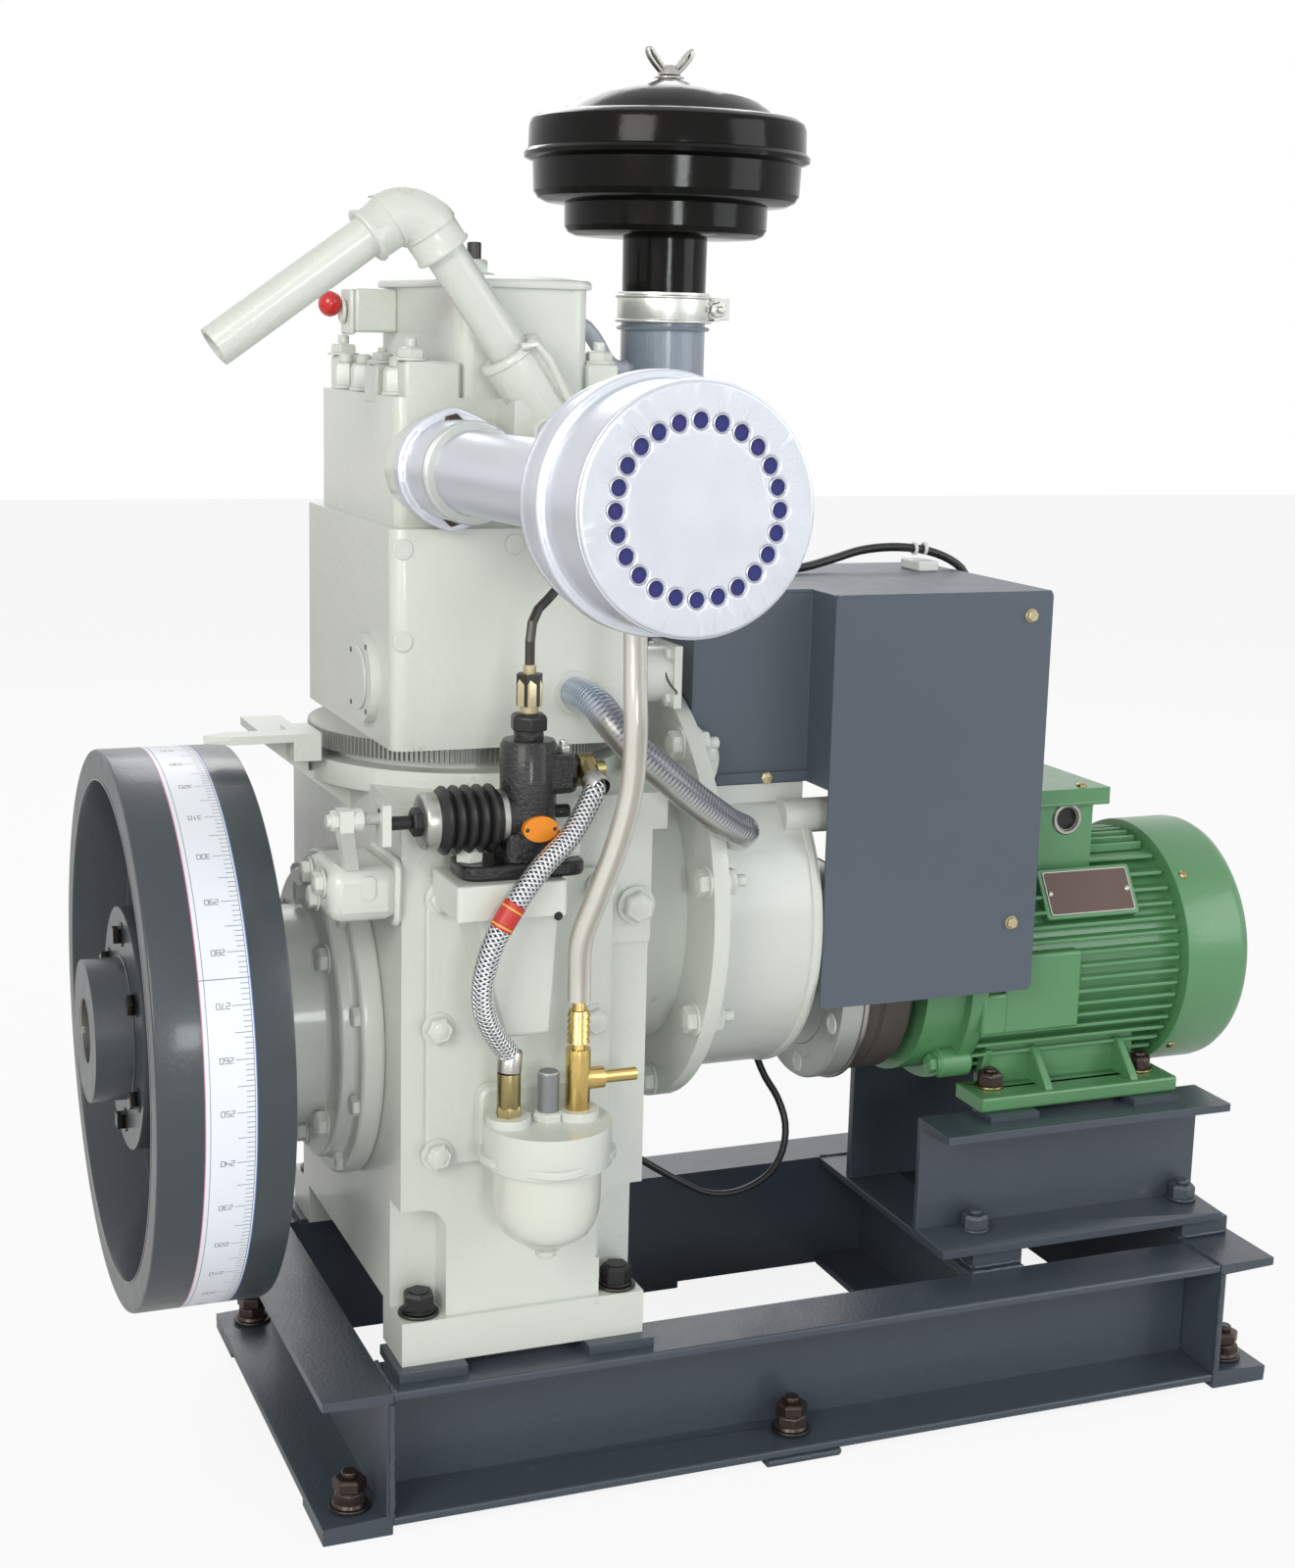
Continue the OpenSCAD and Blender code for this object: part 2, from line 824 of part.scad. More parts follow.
// Quarter bend of diameter d that joins the two arms.
module outlet_bend(d) {
    translate([bend_r * (sin(water_tilt) - cos(water_tilt)), 0,
               -bend_r * (sin(water_tilt) + cos(water_tilt))])
        rotate([90, 0, 0]) rotate(water_tilt) rotate_extrude(angle = 90) translate([bend_r, 0])
            circle(d = d);
}

module outlet_arm(from, to, d) {
    translate([0, 0, from]) cylinder(d = d, h = to - from);
}

module water_outlet() {
    color(cast_cream) translate(elbow) difference() {
        union() {
            outlet_bend(water_d + arm_ball);
            free_arm() outlet_arm(bend_r - eps, arm_free_l, water_d);
            free_arm() outlet_arm(bend_r - eps, arm_sleeve_l, water_d + arm_sleeve);
            head_arm() outlet_arm(bend_r - eps, arm_head_l, water_d);
            head_arm() outlet_arm(bend_r - eps, arm_sleeve_l, water_d + arm_sleeve);
        }
        free_arm() outlet_arm(2 * arm_wall, arm_free_l + 1, water_d - 2 * arm_wall);
        head_arm() outlet_arm(2 * arm_wall, arm_head_l + 1, water_d - 2 * arm_wall);
    }
}

module decompression_housing() {
    color(cast_cream) difference() {
        rod_x(decomp_x, rocker_x - rocker_l / 2, decomp_d, decomp_y, decomp_z);
        rod_x(decomp_x - 1, decomp_x + spindle_l + 1, spindle_d + 2 * running, decomp_y, decomp_z);
    }
}

module decompression_lever() {
    color([0.8, 0.1, 0.1]) {
        rod_x(decomp_x - lever_t, decomp_x + spindle_l, spindle_d, decomp_y, decomp_z);
        rod_x(decomp_x - lever_t, decomp_x - 1, lever_d, decomp_y, decomp_z);
        rod_x(knob_x, decomp_x - lever_t + eps, lever_rod_d, decomp_y, decomp_z + knob_up);
        for (a = [-90, 90]) translate([knob_x, decomp_y, decomp_z + knob_up]) rotate([0, a, 0])
            cylinder(d1 = knob_d, d2 = knob_d / 2, h = knob_d / 2);
    }
}

// Axis of the exhaust: z = 0 at the head, running out along +z.
module exhaust_axis() {
    translate([port_x, port_y, port_z]) rotate([90 - exhaust_tilt, 0, exhaust_turn]) children();
}

module exhaust_pipe() {
    color(silver) exhaust_axis() difference() {
        union() {
            linear_extrude(flange_t) hull() {
                circle(d = flange_d, $fn = 32);
                for (s = [-1, 1]) translate([0, s * flange_lobe]) circle(d = flange_lobe_d, $fn = 32);
            }
            cylinder(d = neck_d, h = flange_t + neck_l);
            cylinder(d = exhaust_d, h = exhaust_l);
        }
        translate([0, 0, -1]) cylinder(d = exhaust_d - 2 * exhaust_wall, h = exhaust_l + 2);
    }
}

module silencer_drum() {
    color(silver) exhaust_axis() translate([0, 0, exhaust_l]) difference() {
        union() {
            cylinder(d = drum_d, h = drum_l);
            translate([0, 0, drum_band_y]) cylinder(d = drum_d + 2 * drum_band_out, h = drum_band_l);
        }
        translate([0, 0, drum_wall]) cylinder(d = drum_d - 2 * drum_wall, h = drum_l - 2 * drum_wall);
        translate([0, 0, -1]) cylinder(d = exhaust_d - 2 * exhaust_wall, h = drum_wall + 2);
        for (i = [0 : drum_holes - 1]) rotate(i * 360 / drum_holes)
            translate([hole_ring_r, 0, drum_l - drum_wall - 1])
                cylinder(d = hole_d, h = drum_wall + 2, $fn = 24);
    }
}

module intake_pipe() {
    bend_x = cleaner_x - intake_r;
    bend_z = intake_z + intake_r;
    color(frame_grey) {
        rod_x(engine_x + head_l / 2, bend_x + eps, intake_d, cleaner_y, intake_z);
        translate([bend_x, cleaner_y, bend_z]) rotate([90, 0, 0]) rotate(-90) rotate_extrude(angle = 90)
            translate([intake_r, 0]) circle(d = intake_d);
        translate([cleaner_x, cleaner_y, bend_z - eps])
            cylinder(d = intake_d, h = intake_top - bend_z + eps);
        rod_x(breather_end[0], cleaner_x, breather_hose_d, breather_end[1], breather_end[2]);
    }
}

module air_cleaner() {
    color(gloss_black) translate([cleaner_x, cleaner_y, 0]) {
        translate([0, 0, intake_top]) cylinder(d = intake_d, h = step_z - intake_top + 1);
        translate([0, 0, step_z]) cylinder(d = step_d, h = bowl_z - step_z + 1);
        translate([0, 0, bowl_z]) cylinder(d = cleaner_d - bowl_in, h = cap_z - bowl_z + 1);
        translate([0, 0, cap_z]) cylinder(d = cleaner_d, h = cap_l);
        translate([0, 0, cap_z + cap_l - eps]) intersection() {
            translate([0, 0, dome_h - dome_r]) sphere(r = dome_r);
            cylinder(d = cleaner_d - 2 * dome_in, h = dome_h + 1);
        }
        translate([0, 0, cap_z + cap_l]) cylinder(d = crown_d, h = dome_h + crown_h);
    }
}

module wing_nut() {
    color(silver) translate([cleaner_x, cleaner_y, cap_z + cap_l + dome_h + crown_h]) {
        cylinder(d = wing_d, h = wing_h);
        cylinder(d = screw_d, h = wing_h + wing_w);
        for (s = [-1, 1]) rotate([0, s * wing_lean, 0]) translate([s * 2 - wing_t / 2, -wing_w / 2, 4])
            cube([wing_t, wing_w, wing_l - 4]);
    }
}

module hose_clamp() {
    color(silver) difference() {
        union() {
            translate([cleaner_x, cleaner_y, clamp_z])
                cylinder(d = intake_d + 2 * clamp_t, h = clamp_l);
            box(cleaner_x + intake_d / 2 + 1, cleaner_x + intake_d / 2 + clamp_bolt_l,
                cleaner_y - clamp_bolt_w / 2, cleaner_y + clamp_bolt_w / 2, clamp_z + clamp_t,
                clamp_z + clamp_l - clamp_t);
        }
        translate([cleaner_x, cleaner_y, clamp_z - 1]) cylinder(d = intake_d, h = clamp_l + 2);
    }
}

module pump_bracket() {
    wall_y = -case_y - cover_t;
    top = bracket_low[0];
    bottom = bracket_low[1];
    color(cast_cream) {
        box(bracket_x0, bracket_x1, bracket_y, wall_y, pump_z - bracket_t, pump_z);
        hull() {
            box(top[0], top[1], top[2], wall_y, pump_z - bracket_t, pump_z - bracket_low_t);
            box(bottom[0], bottom[1], bottom[2], wall_y, bracket_low_z, bracket_low_z + bracket_low_t);
        }
    }
}

module injection_pump() {
    color(gloss_black) translate([pump_x, pump_y, pump_z]) {
        box(pump_flange[0], pump_flange[1], -pump_flange_w / 2, pump_flange_w / 2, 0, pump_flange_t);
        box(pump_side_x, -pump_side_x, -pump_side_d / 2, pump_side_d / 2, 0, pump_base_h);
        cylinder(d = pump_barrel_d, h = pump_barrel_h);
        translate([pump_side_x, 0, bellows_z - pump_z]) rotate([0, 90, 0])
            cylinder(d = pump_side_d, h = -pump_side_x);
        box(pump_head[0], pump_head[1], -pump_head_w / 2, pump_head_w / 2, pump_head_z,
            pump_head_z + pump_head_h);
        cylinder(d = pump_neck_d, h = pump_neck_h);
        translate([0, 0, pump_neck_h - eps]) cylinder(d = pump_hex_d, h = pump_hex_h, $fn = 6);
        cylinder(d = delivery_neck_d, h = delivery_z - delivery_h - pump_z);
    }
}

module pump_bellows() {
    color(gloss_black) {
        rod_x(bellows_x0, pump_x + pump_side_x, bellows_d, pump_y, bellows_z);
        rod_x(bellows_x0 - bellows_cap, bellows_x0 + eps, bellows_d - bellows_step, pump_y, bellows_z);
        rod_x(bellows_tip_x, bellows_x0 - bellows_cap + eps, bellows_tip_d, pump_y, bellows_z);
    }
}

module injector_pipe() {
    color([0.35, 0.35, 0.36]) {
        translate([pump_x, pump_y, delivery_z - delivery_h])
            cylinder(d = delivery_d, h = delivery_h + 1, $fn = 6);
        tube(injector_route, injector_pipe_d, 8);
    }
}

module leak_pipe() {
    color(cast_cream) tube(leak_route, leak_pipe_d, 8);
}

module governor_housing() {
    color(cast_cream) difference() {
        union() {
            translate([case_x0 - gov_plate_t, 0, 0]) rotate([90, 0, 90]) linear_extrude(gov_plate_t)
                polygon(gov_plate);
            box(gov_x0, case_x0 - gov_plate_t + eps, gov_y0, gov_y1, gov_z0, gov_z1);
        }
        rod_x(gov_x0, case_x0 + 1, cover_ring_d + 1, 0, shaft_z);
    }
}

module governor_link() {
    eye_z = link_eye_z - link_eye / 2;
    color(cast_cream) {
        hull() {
            translate([link_foot[0] - link_foot_w / 2, link_foot[1] - link_foot_w / 2, gov_z1])
                cube([link_foot_w, link_foot_w, 1]);
            translate([link_x - link_w / 2, pump_y - link_eye / 2, eye_z]) cube([link_w, link_eye, 1]);
        }
        translate([link_x - link_w / 2, pump_y - link_eye / 2, eye_z])
            cube([link_w, link_eye, link_eye]);
        rod_x(link_x, link_x + link_w / 2 + link_nut_l, link_eye, pump_y, link_eye_z);
        rod_x(link_rod_x, clevis_x + eps, link_rod_d, pump_y, link_eye_z);
        rod_x(clevis_x, bellows_tip_x, link_rod_d, pump_y, bellows_z);
        box(clevis_x, clevis_x + clevis_t, pump_y - clevis_w / 2, pump_y + clevis_w / 2,
            bellows_z - clevis_h / 2, bellows_z + clevis_h / 2);
    }
}

module timing_pointer() {
    y0 = pointer_y - pointer_w / 2;
    y1 = pointer_y + pointer_w / 2;
    color(cast_cream) {
        box(pointer_end_x - pointer_w, pointer_end_x, y0, shelf_y0, shelf_z - pointer_block,
            shelf_z + eps);
        translate([0, 0, shelf_z]) linear_extrude(pointer_t)
            polygon([
                [pointer_end_x, y0], [pointer_end_x, y1], [pointer_tip_x + pointer_point, y1],
                [pointer_tip_x, pointer_y], [pointer_tip_x + pointer_point, y0]
            ]);
        box(pointer_end_x - pointer_w, pointer_end_x, y1 - eps, shelf_y0 + pointer_w, shelf_z,
            shelf_z + pointer_t);
    }
}

module filter_head() {
    color(cast_cream) translate([filter_x, filter_y, filter_z]) {
        cylinder(d = filter_head_d, h = filter_head_h);
        for (x = [hose_x, tee_x]) translate([x - filter_x, 0, 0])
            cylinder(d = filter_boss_d, h = filter_boss_h);
        cylinder(d = filter_stud_d, h = filter_stud_h);
        box(-filter_arm_w / 2, filter_arm_w / 2, 0, -case_y - cover_t - filter_y, 0, filter_arm_h);
    }
}

module filter_bowl() {
    color(cast_cream) translate([filter_x, filter_y, filter_z - bowl_h]) {
        cylinder(d = bowl_d, h = bowl_h);
        translate([0, 0, -bowl_cone_h])
            cylinder(d1 = bowl_cone_d, d2 = bowl_d, h = bowl_cone_h + eps);
        translate([0, 0, -bowl_cone_h - bowl_tip_h])
            cylinder(d1 = bowl_tip_d, d2 = bowl_cone_d, h = bowl_tip_h + eps);
        translate([0, 0, -bowl_cone_h - bowl_tip_h - drain_h]) cylinder(d = drain_d, h = drain_h + 1);
    }
}

module fuel_tee() {
    base_z = filter_z + filter_boss_h;
    color(brass_yellow) {
        translate([tee_x, filter_y, base_z]) cylinder(d = tee_d, h = tee_h);
        translate([tee_x, filter_y, base_z + tee_h - eps])
            cylinder(d = tee_barb_d, h = return_route[0][2] - base_z - tee_h + eps);
        rod_x(tee_x, tee_x + tee_side_l, tee_d - 2, filter_y, base_z + tee_side_z);
        rod_x(tee_x, tee_x + tee_side_barb_l, tee_barb_d, filter_y, base_z + tee_side_z);
    }
}

module fuel_banjo() {
    color(brass_yellow) {
        rod_x(pump_x + pump_head[1], pump_x + pump_head[1] + banjo_bolt_l, banjo_bolt_d, pump_y, banjo_z);
        rod_x(banjo_x - banjo_ring_l / 2, banjo_x + banjo_ring_l / 2, banjo_ring_d, pump_y, banjo_z);
        tube([fuel_route[0] - banjo_bolt_d * heading(fuel_route, 0), fuel_route[0]], fuel_hose_d);
        translate([fuel_end[0], fuel_end[1], filter_z + filter_boss_h])
            cylinder(d = fuel_hose_d + 1, h = fuel_end[2] - filter_z - filter_boss_h);
    }
}

module fuel_hose() {
    color(silver) tube(fuel_route, fuel_hose_d);
}

module return_hose() {
    color(clear_grey) tube(return_route, return_hose_d);
}

module water_hose() {
    color(clear_grey) tube(water_route, water_hose_d, 12);
}

module breather_hose() {
    color(clear_grey) tube(breather_route, breather_hose_d);
}

module sensor_wire() {
    color(wire_black) tube(sensor_route, sensor_wire_d, 8);
}

module box_cable() {
    color(wire_black) tube(cable_route, box_cable_d, 8);
}

module bell_housing() {
    color(cast_cream) difference() {
        union() {
            rod_x(bell_x0, bell_x0 + bell_t, bell_d, 0, bell_z);
            rod_x(bell_x0 + bell_t - eps, bell_x1, drum_bell_d, 0, drum_bell_z);
            box(bell_x0 + bell_t + bell_pad_x, bell_x1, -bell_pad_w / 2, bell_pad_w / 2,
                drum_bell_z, bell_pad_z);
            rod_x(bell_x1 - lug_l, bell_x1 + lug_l, lug_d, lug_y, lug_z);
            rod_y(water_end[1], water_end[1] + bell_boss_l, bell_boss_d, water_end[0], water_end[2]);
        }
        rod_x(bell_x0 - 1, bell_x1 + 1, bore_d, 0, shaft_z);
        box(bell_x0 + bell_t, bell_x1 + 1, -bell_pad_w, bell_pad_w, bell_pad_z, bell_pad_z + rail_h);
    }
}

module control_box() {
    color(frame_grey) {
        box(box_x0, box_x1, box_y0, box_y1, bell_pad_z, box_z1);
        box(box_bay_x, box_x1, box_bay_y, box_y0 + eps, bell_pad_z, box_z1);
    }
}

module front_panel() {
    color(frame_grey) box(box_bay_x, box_x1, box_bay_y - panel_t, box_bay_y, panel_z, box_z1);
}

module flywheel() {
    color(wheel_grey) difference() {
        union() {
            difference() {
                rod_x(wheel_x, wheel_x + wheel_w, wheel_d, 0, shaft_z);
                rod_x(wheel_x - 1, wheel_x + wheel_w + 1, wheel_d - 2 * rim_t, 0, shaft_z);
            }
            rod_x(web_x, web_x + web_t, wheel_d - rim_t, 0, shaft_z);
            rod_x(hub_x + hub_l + hub_flange_t, boss_x1, boss_d, 0, shaft_z);
        }
        rod_x(wheel_x - 1, boss_x1 + 1, shaft_d, 0, shaft_z);
        for (i = [0 : wheel_windows - 1])
            translate([web_x - 1, 0, shaft_z]) rotate([i * 360 / wheel_windows, 0, 0])
                translate([0, window_r, 0]) rotate([0, 90, 0]) cylinder(d = window_d, h = web_t + 2);
    }
}

module flywheel_hub() {
    color(wheel_grey) difference() {
        union() {
            rod_x(hub_x, hub_x + hub_l + eps, hub_d, 0, shaft_z);
            rod_x(hub_x + hub_l, hub_x + hub_l + hub_flange_t, hub_flange_d, 0, shaft_z);
        }
        rod_x(hub_x - 1, hub_x + hub_bore_l, hub_bore_d, 0, shaft_z);
    }
}

module crankshaft() {
    color(silver) rod_x(hub_x + hub_l + hub_flange_t, disc_x, shaft_d, 0, shaft_z);
}

module coupling_disc() {
    color([0.6, 0.6, 0.58]) rod_x(disc_x, disc_x + disc_t, disc_d, 0, shaft_z);
}

module coupling_rubber() {
    color([0.2, 0.18, 0.17]) {
        rod_x(disc_x + disc_t, disc_x + disc_t + rubber_t, rubber_d, 0, shaft_z);
        rod_x(disc_x + disc_t + rubber_t - eps, motor_x + motor_shaft_in, motor_shaft_d, 0, shaft_z);
    }
}

module motor_body() {
    color(motor_green) difference() {
        union() {
            rod_x(motor_x, motor_x + shield_t, shield_d, 0, shaft_z);
            rod_x(motor_x + shield_t - eps, cowl_x, core_d, 0, shaft_z);
            rod_x(motor_x + shield_t - eps, motor_x + shield_t + ring_t, frame_d, 0, shaft_z);
        }
        rod_x(motor_x - 1, motor_x + motor_shaft_in + 2, motor_shaft_d + 2 * running, 0, shaft_z);
    }
}

module motor_feet() {
    in_y = foot_a / 2 - motor_foot_in;
    color(motor_green) difference() {
        for (s = [-1, 1]) {
            translate([motor_mid_x - motor_foot_l / 2, s > 0 ? in_y : -in_y - motor_foot_w,
                       motor_foot_z])
                cube([motor_foot_l, motor_foot_w, motor_foot_t]);
            translate([motor_mid_x - foot_b / 2, s * in_y - motor_foot_rib / 2, motor_foot_z])
                cube([foot_b, motor_foot_rib, motor_rib_h]);
        }
        rod_x(motor_x - 1, cowl_x + 1, core_d + 2 * running, 0, shaft_z);
        for (sx = [-1, 1]) for (sy = [-1, 1])
            translate([motor_mid_x + sx * foot_b / 2, sy * foot_a / 2, motor_foot_z - 1])
                cylinder(d = motor_hole_d, h = motor_foot_t + 2);
    }
}

module fan_cowl() {
    color(motor_green) rod_x(cowl_x, cowl_x + cowl_l, cowl_d, 0, shaft_z);
}

module terminal_box() {
    top = terminal_z + terminal_h;
    color(motor_green) difference() {
        union() {
            box(terminal_x0, terminal_x1, -terminal_y, terminal_y, terminal_z, top);
            box(terminal_x0 - lid_over, terminal_x1 + lid_end, -terminal_y - lid_over,
                terminal_y + lid_over, top - eps, top + terminal_lid_t);
        }
        rod_x(terminal_x0 - 1, terminal_x1 + 1, core_d + 2 * running, 0, shaft_z);
        rod_y(-terminal_y - 1, -terminal_y + gland_l, gland_d, gland_x, gland_z);
    }
}

left_channel();
right_channel();
front_rail();
rear_rail();
mid_channel();
foot_pads();
engine_packing();
motor_packing();
front_stand();
rear_stand();
motor_shims();
crankcase();
side_cover();
inspection_cover();
gear_ring();
cylinder_block();
block_cover();
cylinder_head();
rocker_box();
rocker_lid();
water_outlet();
decompression_housing();
decompression_lever();
exhaust_pipe();
silencer_drum();
intake_pipe();
air_cleaner();
wing_nut();
hose_clamp();
pump_bracket();
injection_pump();
pump_bellows();
injector_pipe();
leak_pipe();
governor_housing();
governor_link();
timing_pointer();
filter_head();
filter_bowl();
fuel_tee();
fuel_banjo();
fuel_hose();
return_hose();
water_hose();
breather_hose();
bell_housing();
control_box();
front_panel();
box_cable();
sensor_wire();
flywheel();
flywheel_hub();
crankshaft();
coupling_disc();
coupling_rubber();
motor_body();
motor_feet();
fan_cowl();
terminal_box();
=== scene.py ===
import bpy
import random
from math import cos, degrees, pi, radians, sin, sqrt
from mathutils import Vector, Matrix


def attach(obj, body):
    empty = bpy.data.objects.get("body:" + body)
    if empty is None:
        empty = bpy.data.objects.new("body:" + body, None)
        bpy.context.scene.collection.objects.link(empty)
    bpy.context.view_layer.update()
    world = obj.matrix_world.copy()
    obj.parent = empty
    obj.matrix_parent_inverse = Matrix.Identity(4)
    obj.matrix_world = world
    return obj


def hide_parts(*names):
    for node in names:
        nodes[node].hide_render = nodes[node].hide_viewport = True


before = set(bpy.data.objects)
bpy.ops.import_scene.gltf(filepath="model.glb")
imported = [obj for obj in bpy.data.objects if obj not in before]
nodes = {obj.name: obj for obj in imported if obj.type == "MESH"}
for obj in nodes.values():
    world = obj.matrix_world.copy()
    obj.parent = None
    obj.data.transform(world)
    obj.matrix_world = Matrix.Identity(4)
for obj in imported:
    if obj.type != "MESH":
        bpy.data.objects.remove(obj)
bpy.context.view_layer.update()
scene = bpy.context.scene
rnd = random.Random(7)
MM = 0.001
X, Y, Z = Vector((1, 0, 0)), Vector((0, 1, 0)), Vector((0, 0, 1))


# ---- camera and light
def link(obj):
    scene.collection.objects.link(obj)
    return obj


def make_camera():
    yaw, pitch, roll = (radians(a) for a in (22.09, 11.37, 1.44))
    fwd = Vector((sin(yaw) * cos(pitch), cos(yaw) * cos(pitch), -sin(pitch)))
    right = Vector((cos(yaw), -sin(yaw), 0))
    up = right.cross(fwd)
    r = cos(roll) * right + sin(roll) * up
    u = -sin(roll) * right + cos(roll) * up
    cam = link(bpy.data.objects.new("camera", bpy.data.cameras.new("camera")))
    m = Matrix((r, u, -fwd)).transposed().to_4x4()
    m.translation = Vector((-0.7292, -1.5772, 0.8255))
    cam.matrix_world = m
    cam.data.sensor_fit = "HORIZONTAL"
    cam.data.sensor_width = 36
    cam.data.lens = 2308.63 * 36 / 1321
    scene.camera = cam


def area(name, pos, size, watts, target=(0, 0, 0.5), color=(1, 1, 1)):
    lamp = bpy.data.lights.new(name, "AREA")
    lamp.shape = "RECTANGLE"
    lamp.size, lamp.size_y, lamp.energy, lamp.color = size[0], size[1], watts, color
    obj = link(bpy.data.objects.new(name, lamp))
    obj.location = pos
    obj.rotation_euler = (Vector(target) - Vector(pos)).to_track_quat("-Z", "Y").to_euler()


def fill(node, **values):
    """Node with its inputs set; a _ stands for the blank in an input's name."""
    for key, v in values.items():
        node.inputs[key.replace("_", " ")].default_value = v
    return node


def shader(tree, kind, operation=None, **values):
    n = tree.nodes.new("ShaderNode" + kind)
    if operation:
        n.operation = operation
    return fill(n, **values)


def make_stage():
    me = bpy.data.meshes.new("floor")
    me.from_pydata([(-9, -9, 0), (9, -9, 0), (9, 9, 0), (-9, 9, 0)], [], [(0, 1, 2, 3)])
    floor = link(bpy.data.objects.new("floor", me))
    m = bpy.data.materials.new("floor_white")
    m.use_nodes = True
    t = m.node_tree
    b = t.nodes["Principled BSDF"]
    fill(b, Base_Color=(0.86, 0.86, 0.86, 1), Roughness=0.9, Specular_IOR_Level=0.1)
    glow = shader(t, "Emission", Strength=1.0)
    path = shader(t, "LightPath")
    part = shader(t, "Math", "MULTIPLY")
    part.inputs[1].default_value = 0.88
    t.links.new(path.outputs["Is Camera Ray"], part.inputs[0])
    blend = shader(t, "MixShader")
    for i, out in enumerate((part, b, glow)):
        t.links.new(out.outputs[0], blend.inputs[i])
    t.links.new(blend.outputs[0], t.nodes["Material Output"].inputs["Surface"])
    me.materials.append(m)
    w = bpy.data.worlds.new("studio")
    scene.world = w
    w.use_nodes = True
    t = w.node_tree
    path = shader(t, "LightPath")
    top, both = shader(t, "Math", "MAXIMUM"), shader(t, "Math", "MAXIMUM")
    t.links.new(path.outputs["Is Camera Ray"], top.inputs[0])
    t.links.new(path.outputs["Is Transmission Ray"], top.inputs[1])
    t.links.new(top.outputs[0], both.inputs[0])
    t.links.new(path.outputs["Is Glossy Ray"], both.inputs[1])
    level = shader(t, "MapRange", To_Min=0.42, To_Max=1.0)
    t.links.new(both.outputs[0], level.inputs["Value"])
    bg = fill(t.nodes["Background"], Color=(1, 1, 1, 1))
    t.links.new(level.outputs[0], bg.inputs["Strength"])
    area("key", (-3.1, -2.8, 2.2), (2.0, 2.0), 98, color=(1.0, 0.96, 0.885))
    area("fill", (2.6, -2.4, 1.6), (2.0, 2.0), 35, color=(0.94, 0.98, 1.0))
    area("front", (-0.6, -3.2, 1.0), (0.5, 0.5), 17, color=(0.94, 0.98, 1.0))
    area("back", (0.5, 2.6, 2.4), (2.0, 1.5), 30)


scene.view_settings.view_transform = "Standard"
make_camera()
make_stage()


# ---- materials
def srgb(r, g, b):
    return tuple(((c / 255 + 0.055) / 1.055) ** 2.4 if c > 10 else c / 3294 for c in (r, g, b))


class Mat:
    """Node material with colour variation, roughness variation and a fine bump."""

    def __init__(s, name, color, rough, metal=0.0, coat=0.0, vary=0.05, grain=400, depth=0.0002,
                 dirt=None, dirt_at=0.62, uv=False, spec=0.5, alpha=None):
        s.m = bpy.data.materials.new(name)
        s.m.use_nodes = True
        s.t = s.m.node_tree
        s.b = s.t.nodes["Principled BSDF"]
        fill(s.b, Metallic=metal, Coat_Weight=coat, Coat_Roughness=0.12, Specular_IOR_Level=spec)
        s.co = s.new("TexCoord").outputs["UV" if uv else "Object"]
        wide = s.noise(9, 3)
        base = s.mix(s.shade(color, 1 - vary), s.shade(color, 1 + vary), wide)
        if dirt:
            spots = s.ramp(s.noise(38, 6, 0.7), dirt_at, dirt_at + 0.12)
            base = s.mix(base, dirt + (1,), spots)
        s.base = base
        s.link(base, s.b.inputs["Base Color"])
        rg = s.new("MapRange", To_Min=max(0.03, rough - 0.07), To_Max=rough + 0.09)
        s.link(s.noise(55, 4), rg.inputs["Value"])
        s.link(rg.outputs[0], s.b.inputs["Roughness"])
        s.height = s.noise(grain, 3, 0.6)
        s.bump(s.height, depth)

    def new(s, kind, operation=None, **values):
        return shader(s.t, kind, operation, **values)

    def link(s, a, b):
        s.t.links.new(a, b)

    def shade(s, c, k):
        return (min(1, c[0] * k), min(1, c[1] * k), min(1, c[2] * k), 1)

    def noise(s, scale, detail=2, rough=0.5):
        n = s.new("TexNoise", Scale=scale, Detail=detail, Roughness=rough)
        s.link(s.co, n.inputs["Vector"])
        return n.outputs["Fac"]

    def ramp(s, fac, lo, hi):
        r = s.new("MapRange", From_Min=lo, From_Max=hi)
        s.link(fac, r.inputs["Value"])
        return r.outputs[0]

    def mix(s, a, b, fac):
        n = s.new("Mix")
        n.data_type = "RGBA"
        for sock, v in ((6, a), (7, b)):
            if isinstance(v, tuple):
                n.inputs[sock].default_value = v
            else:
                s.link(v, n.inputs[sock])
        s.link(fac, n.inputs[0])
        return n.outputs[2]

    def math(s, op, a, b=None):
        n = s.new("Math", op)
        for i, v in enumerate((a, b)):
            if v is None:
                continue
            if isinstance(v, (int, float)):
                n.inputs[i].default_value = v
            else:
                s.link(v, n.inputs[i])
        return n.outputs[0]

    def bump(s, height, depth):
        n = s.new("Bump", Distance=depth, Strength=1.0)
        s.link(height, n.inputs["Height"])
        s.link(n.outputs[0], s.b.inputs["Normal"])


M, SLOT = {}, {}
SMOOTH = dict(grain=300, depth=0.00005)


def mat(key, slot, name, color, *args, dirt=None, **kw):
    """Material M[key]; whole numbers are sRGB, fractions are linear. Pieces in it fill the slot."""
    color, dirt = (srgb(*c) if c and isinstance(c[0], int) else c for c in (color, dirt))
    M[key], SLOT[key] = Mat(name, color, *args, dirt=dirt, **kw).m, slot


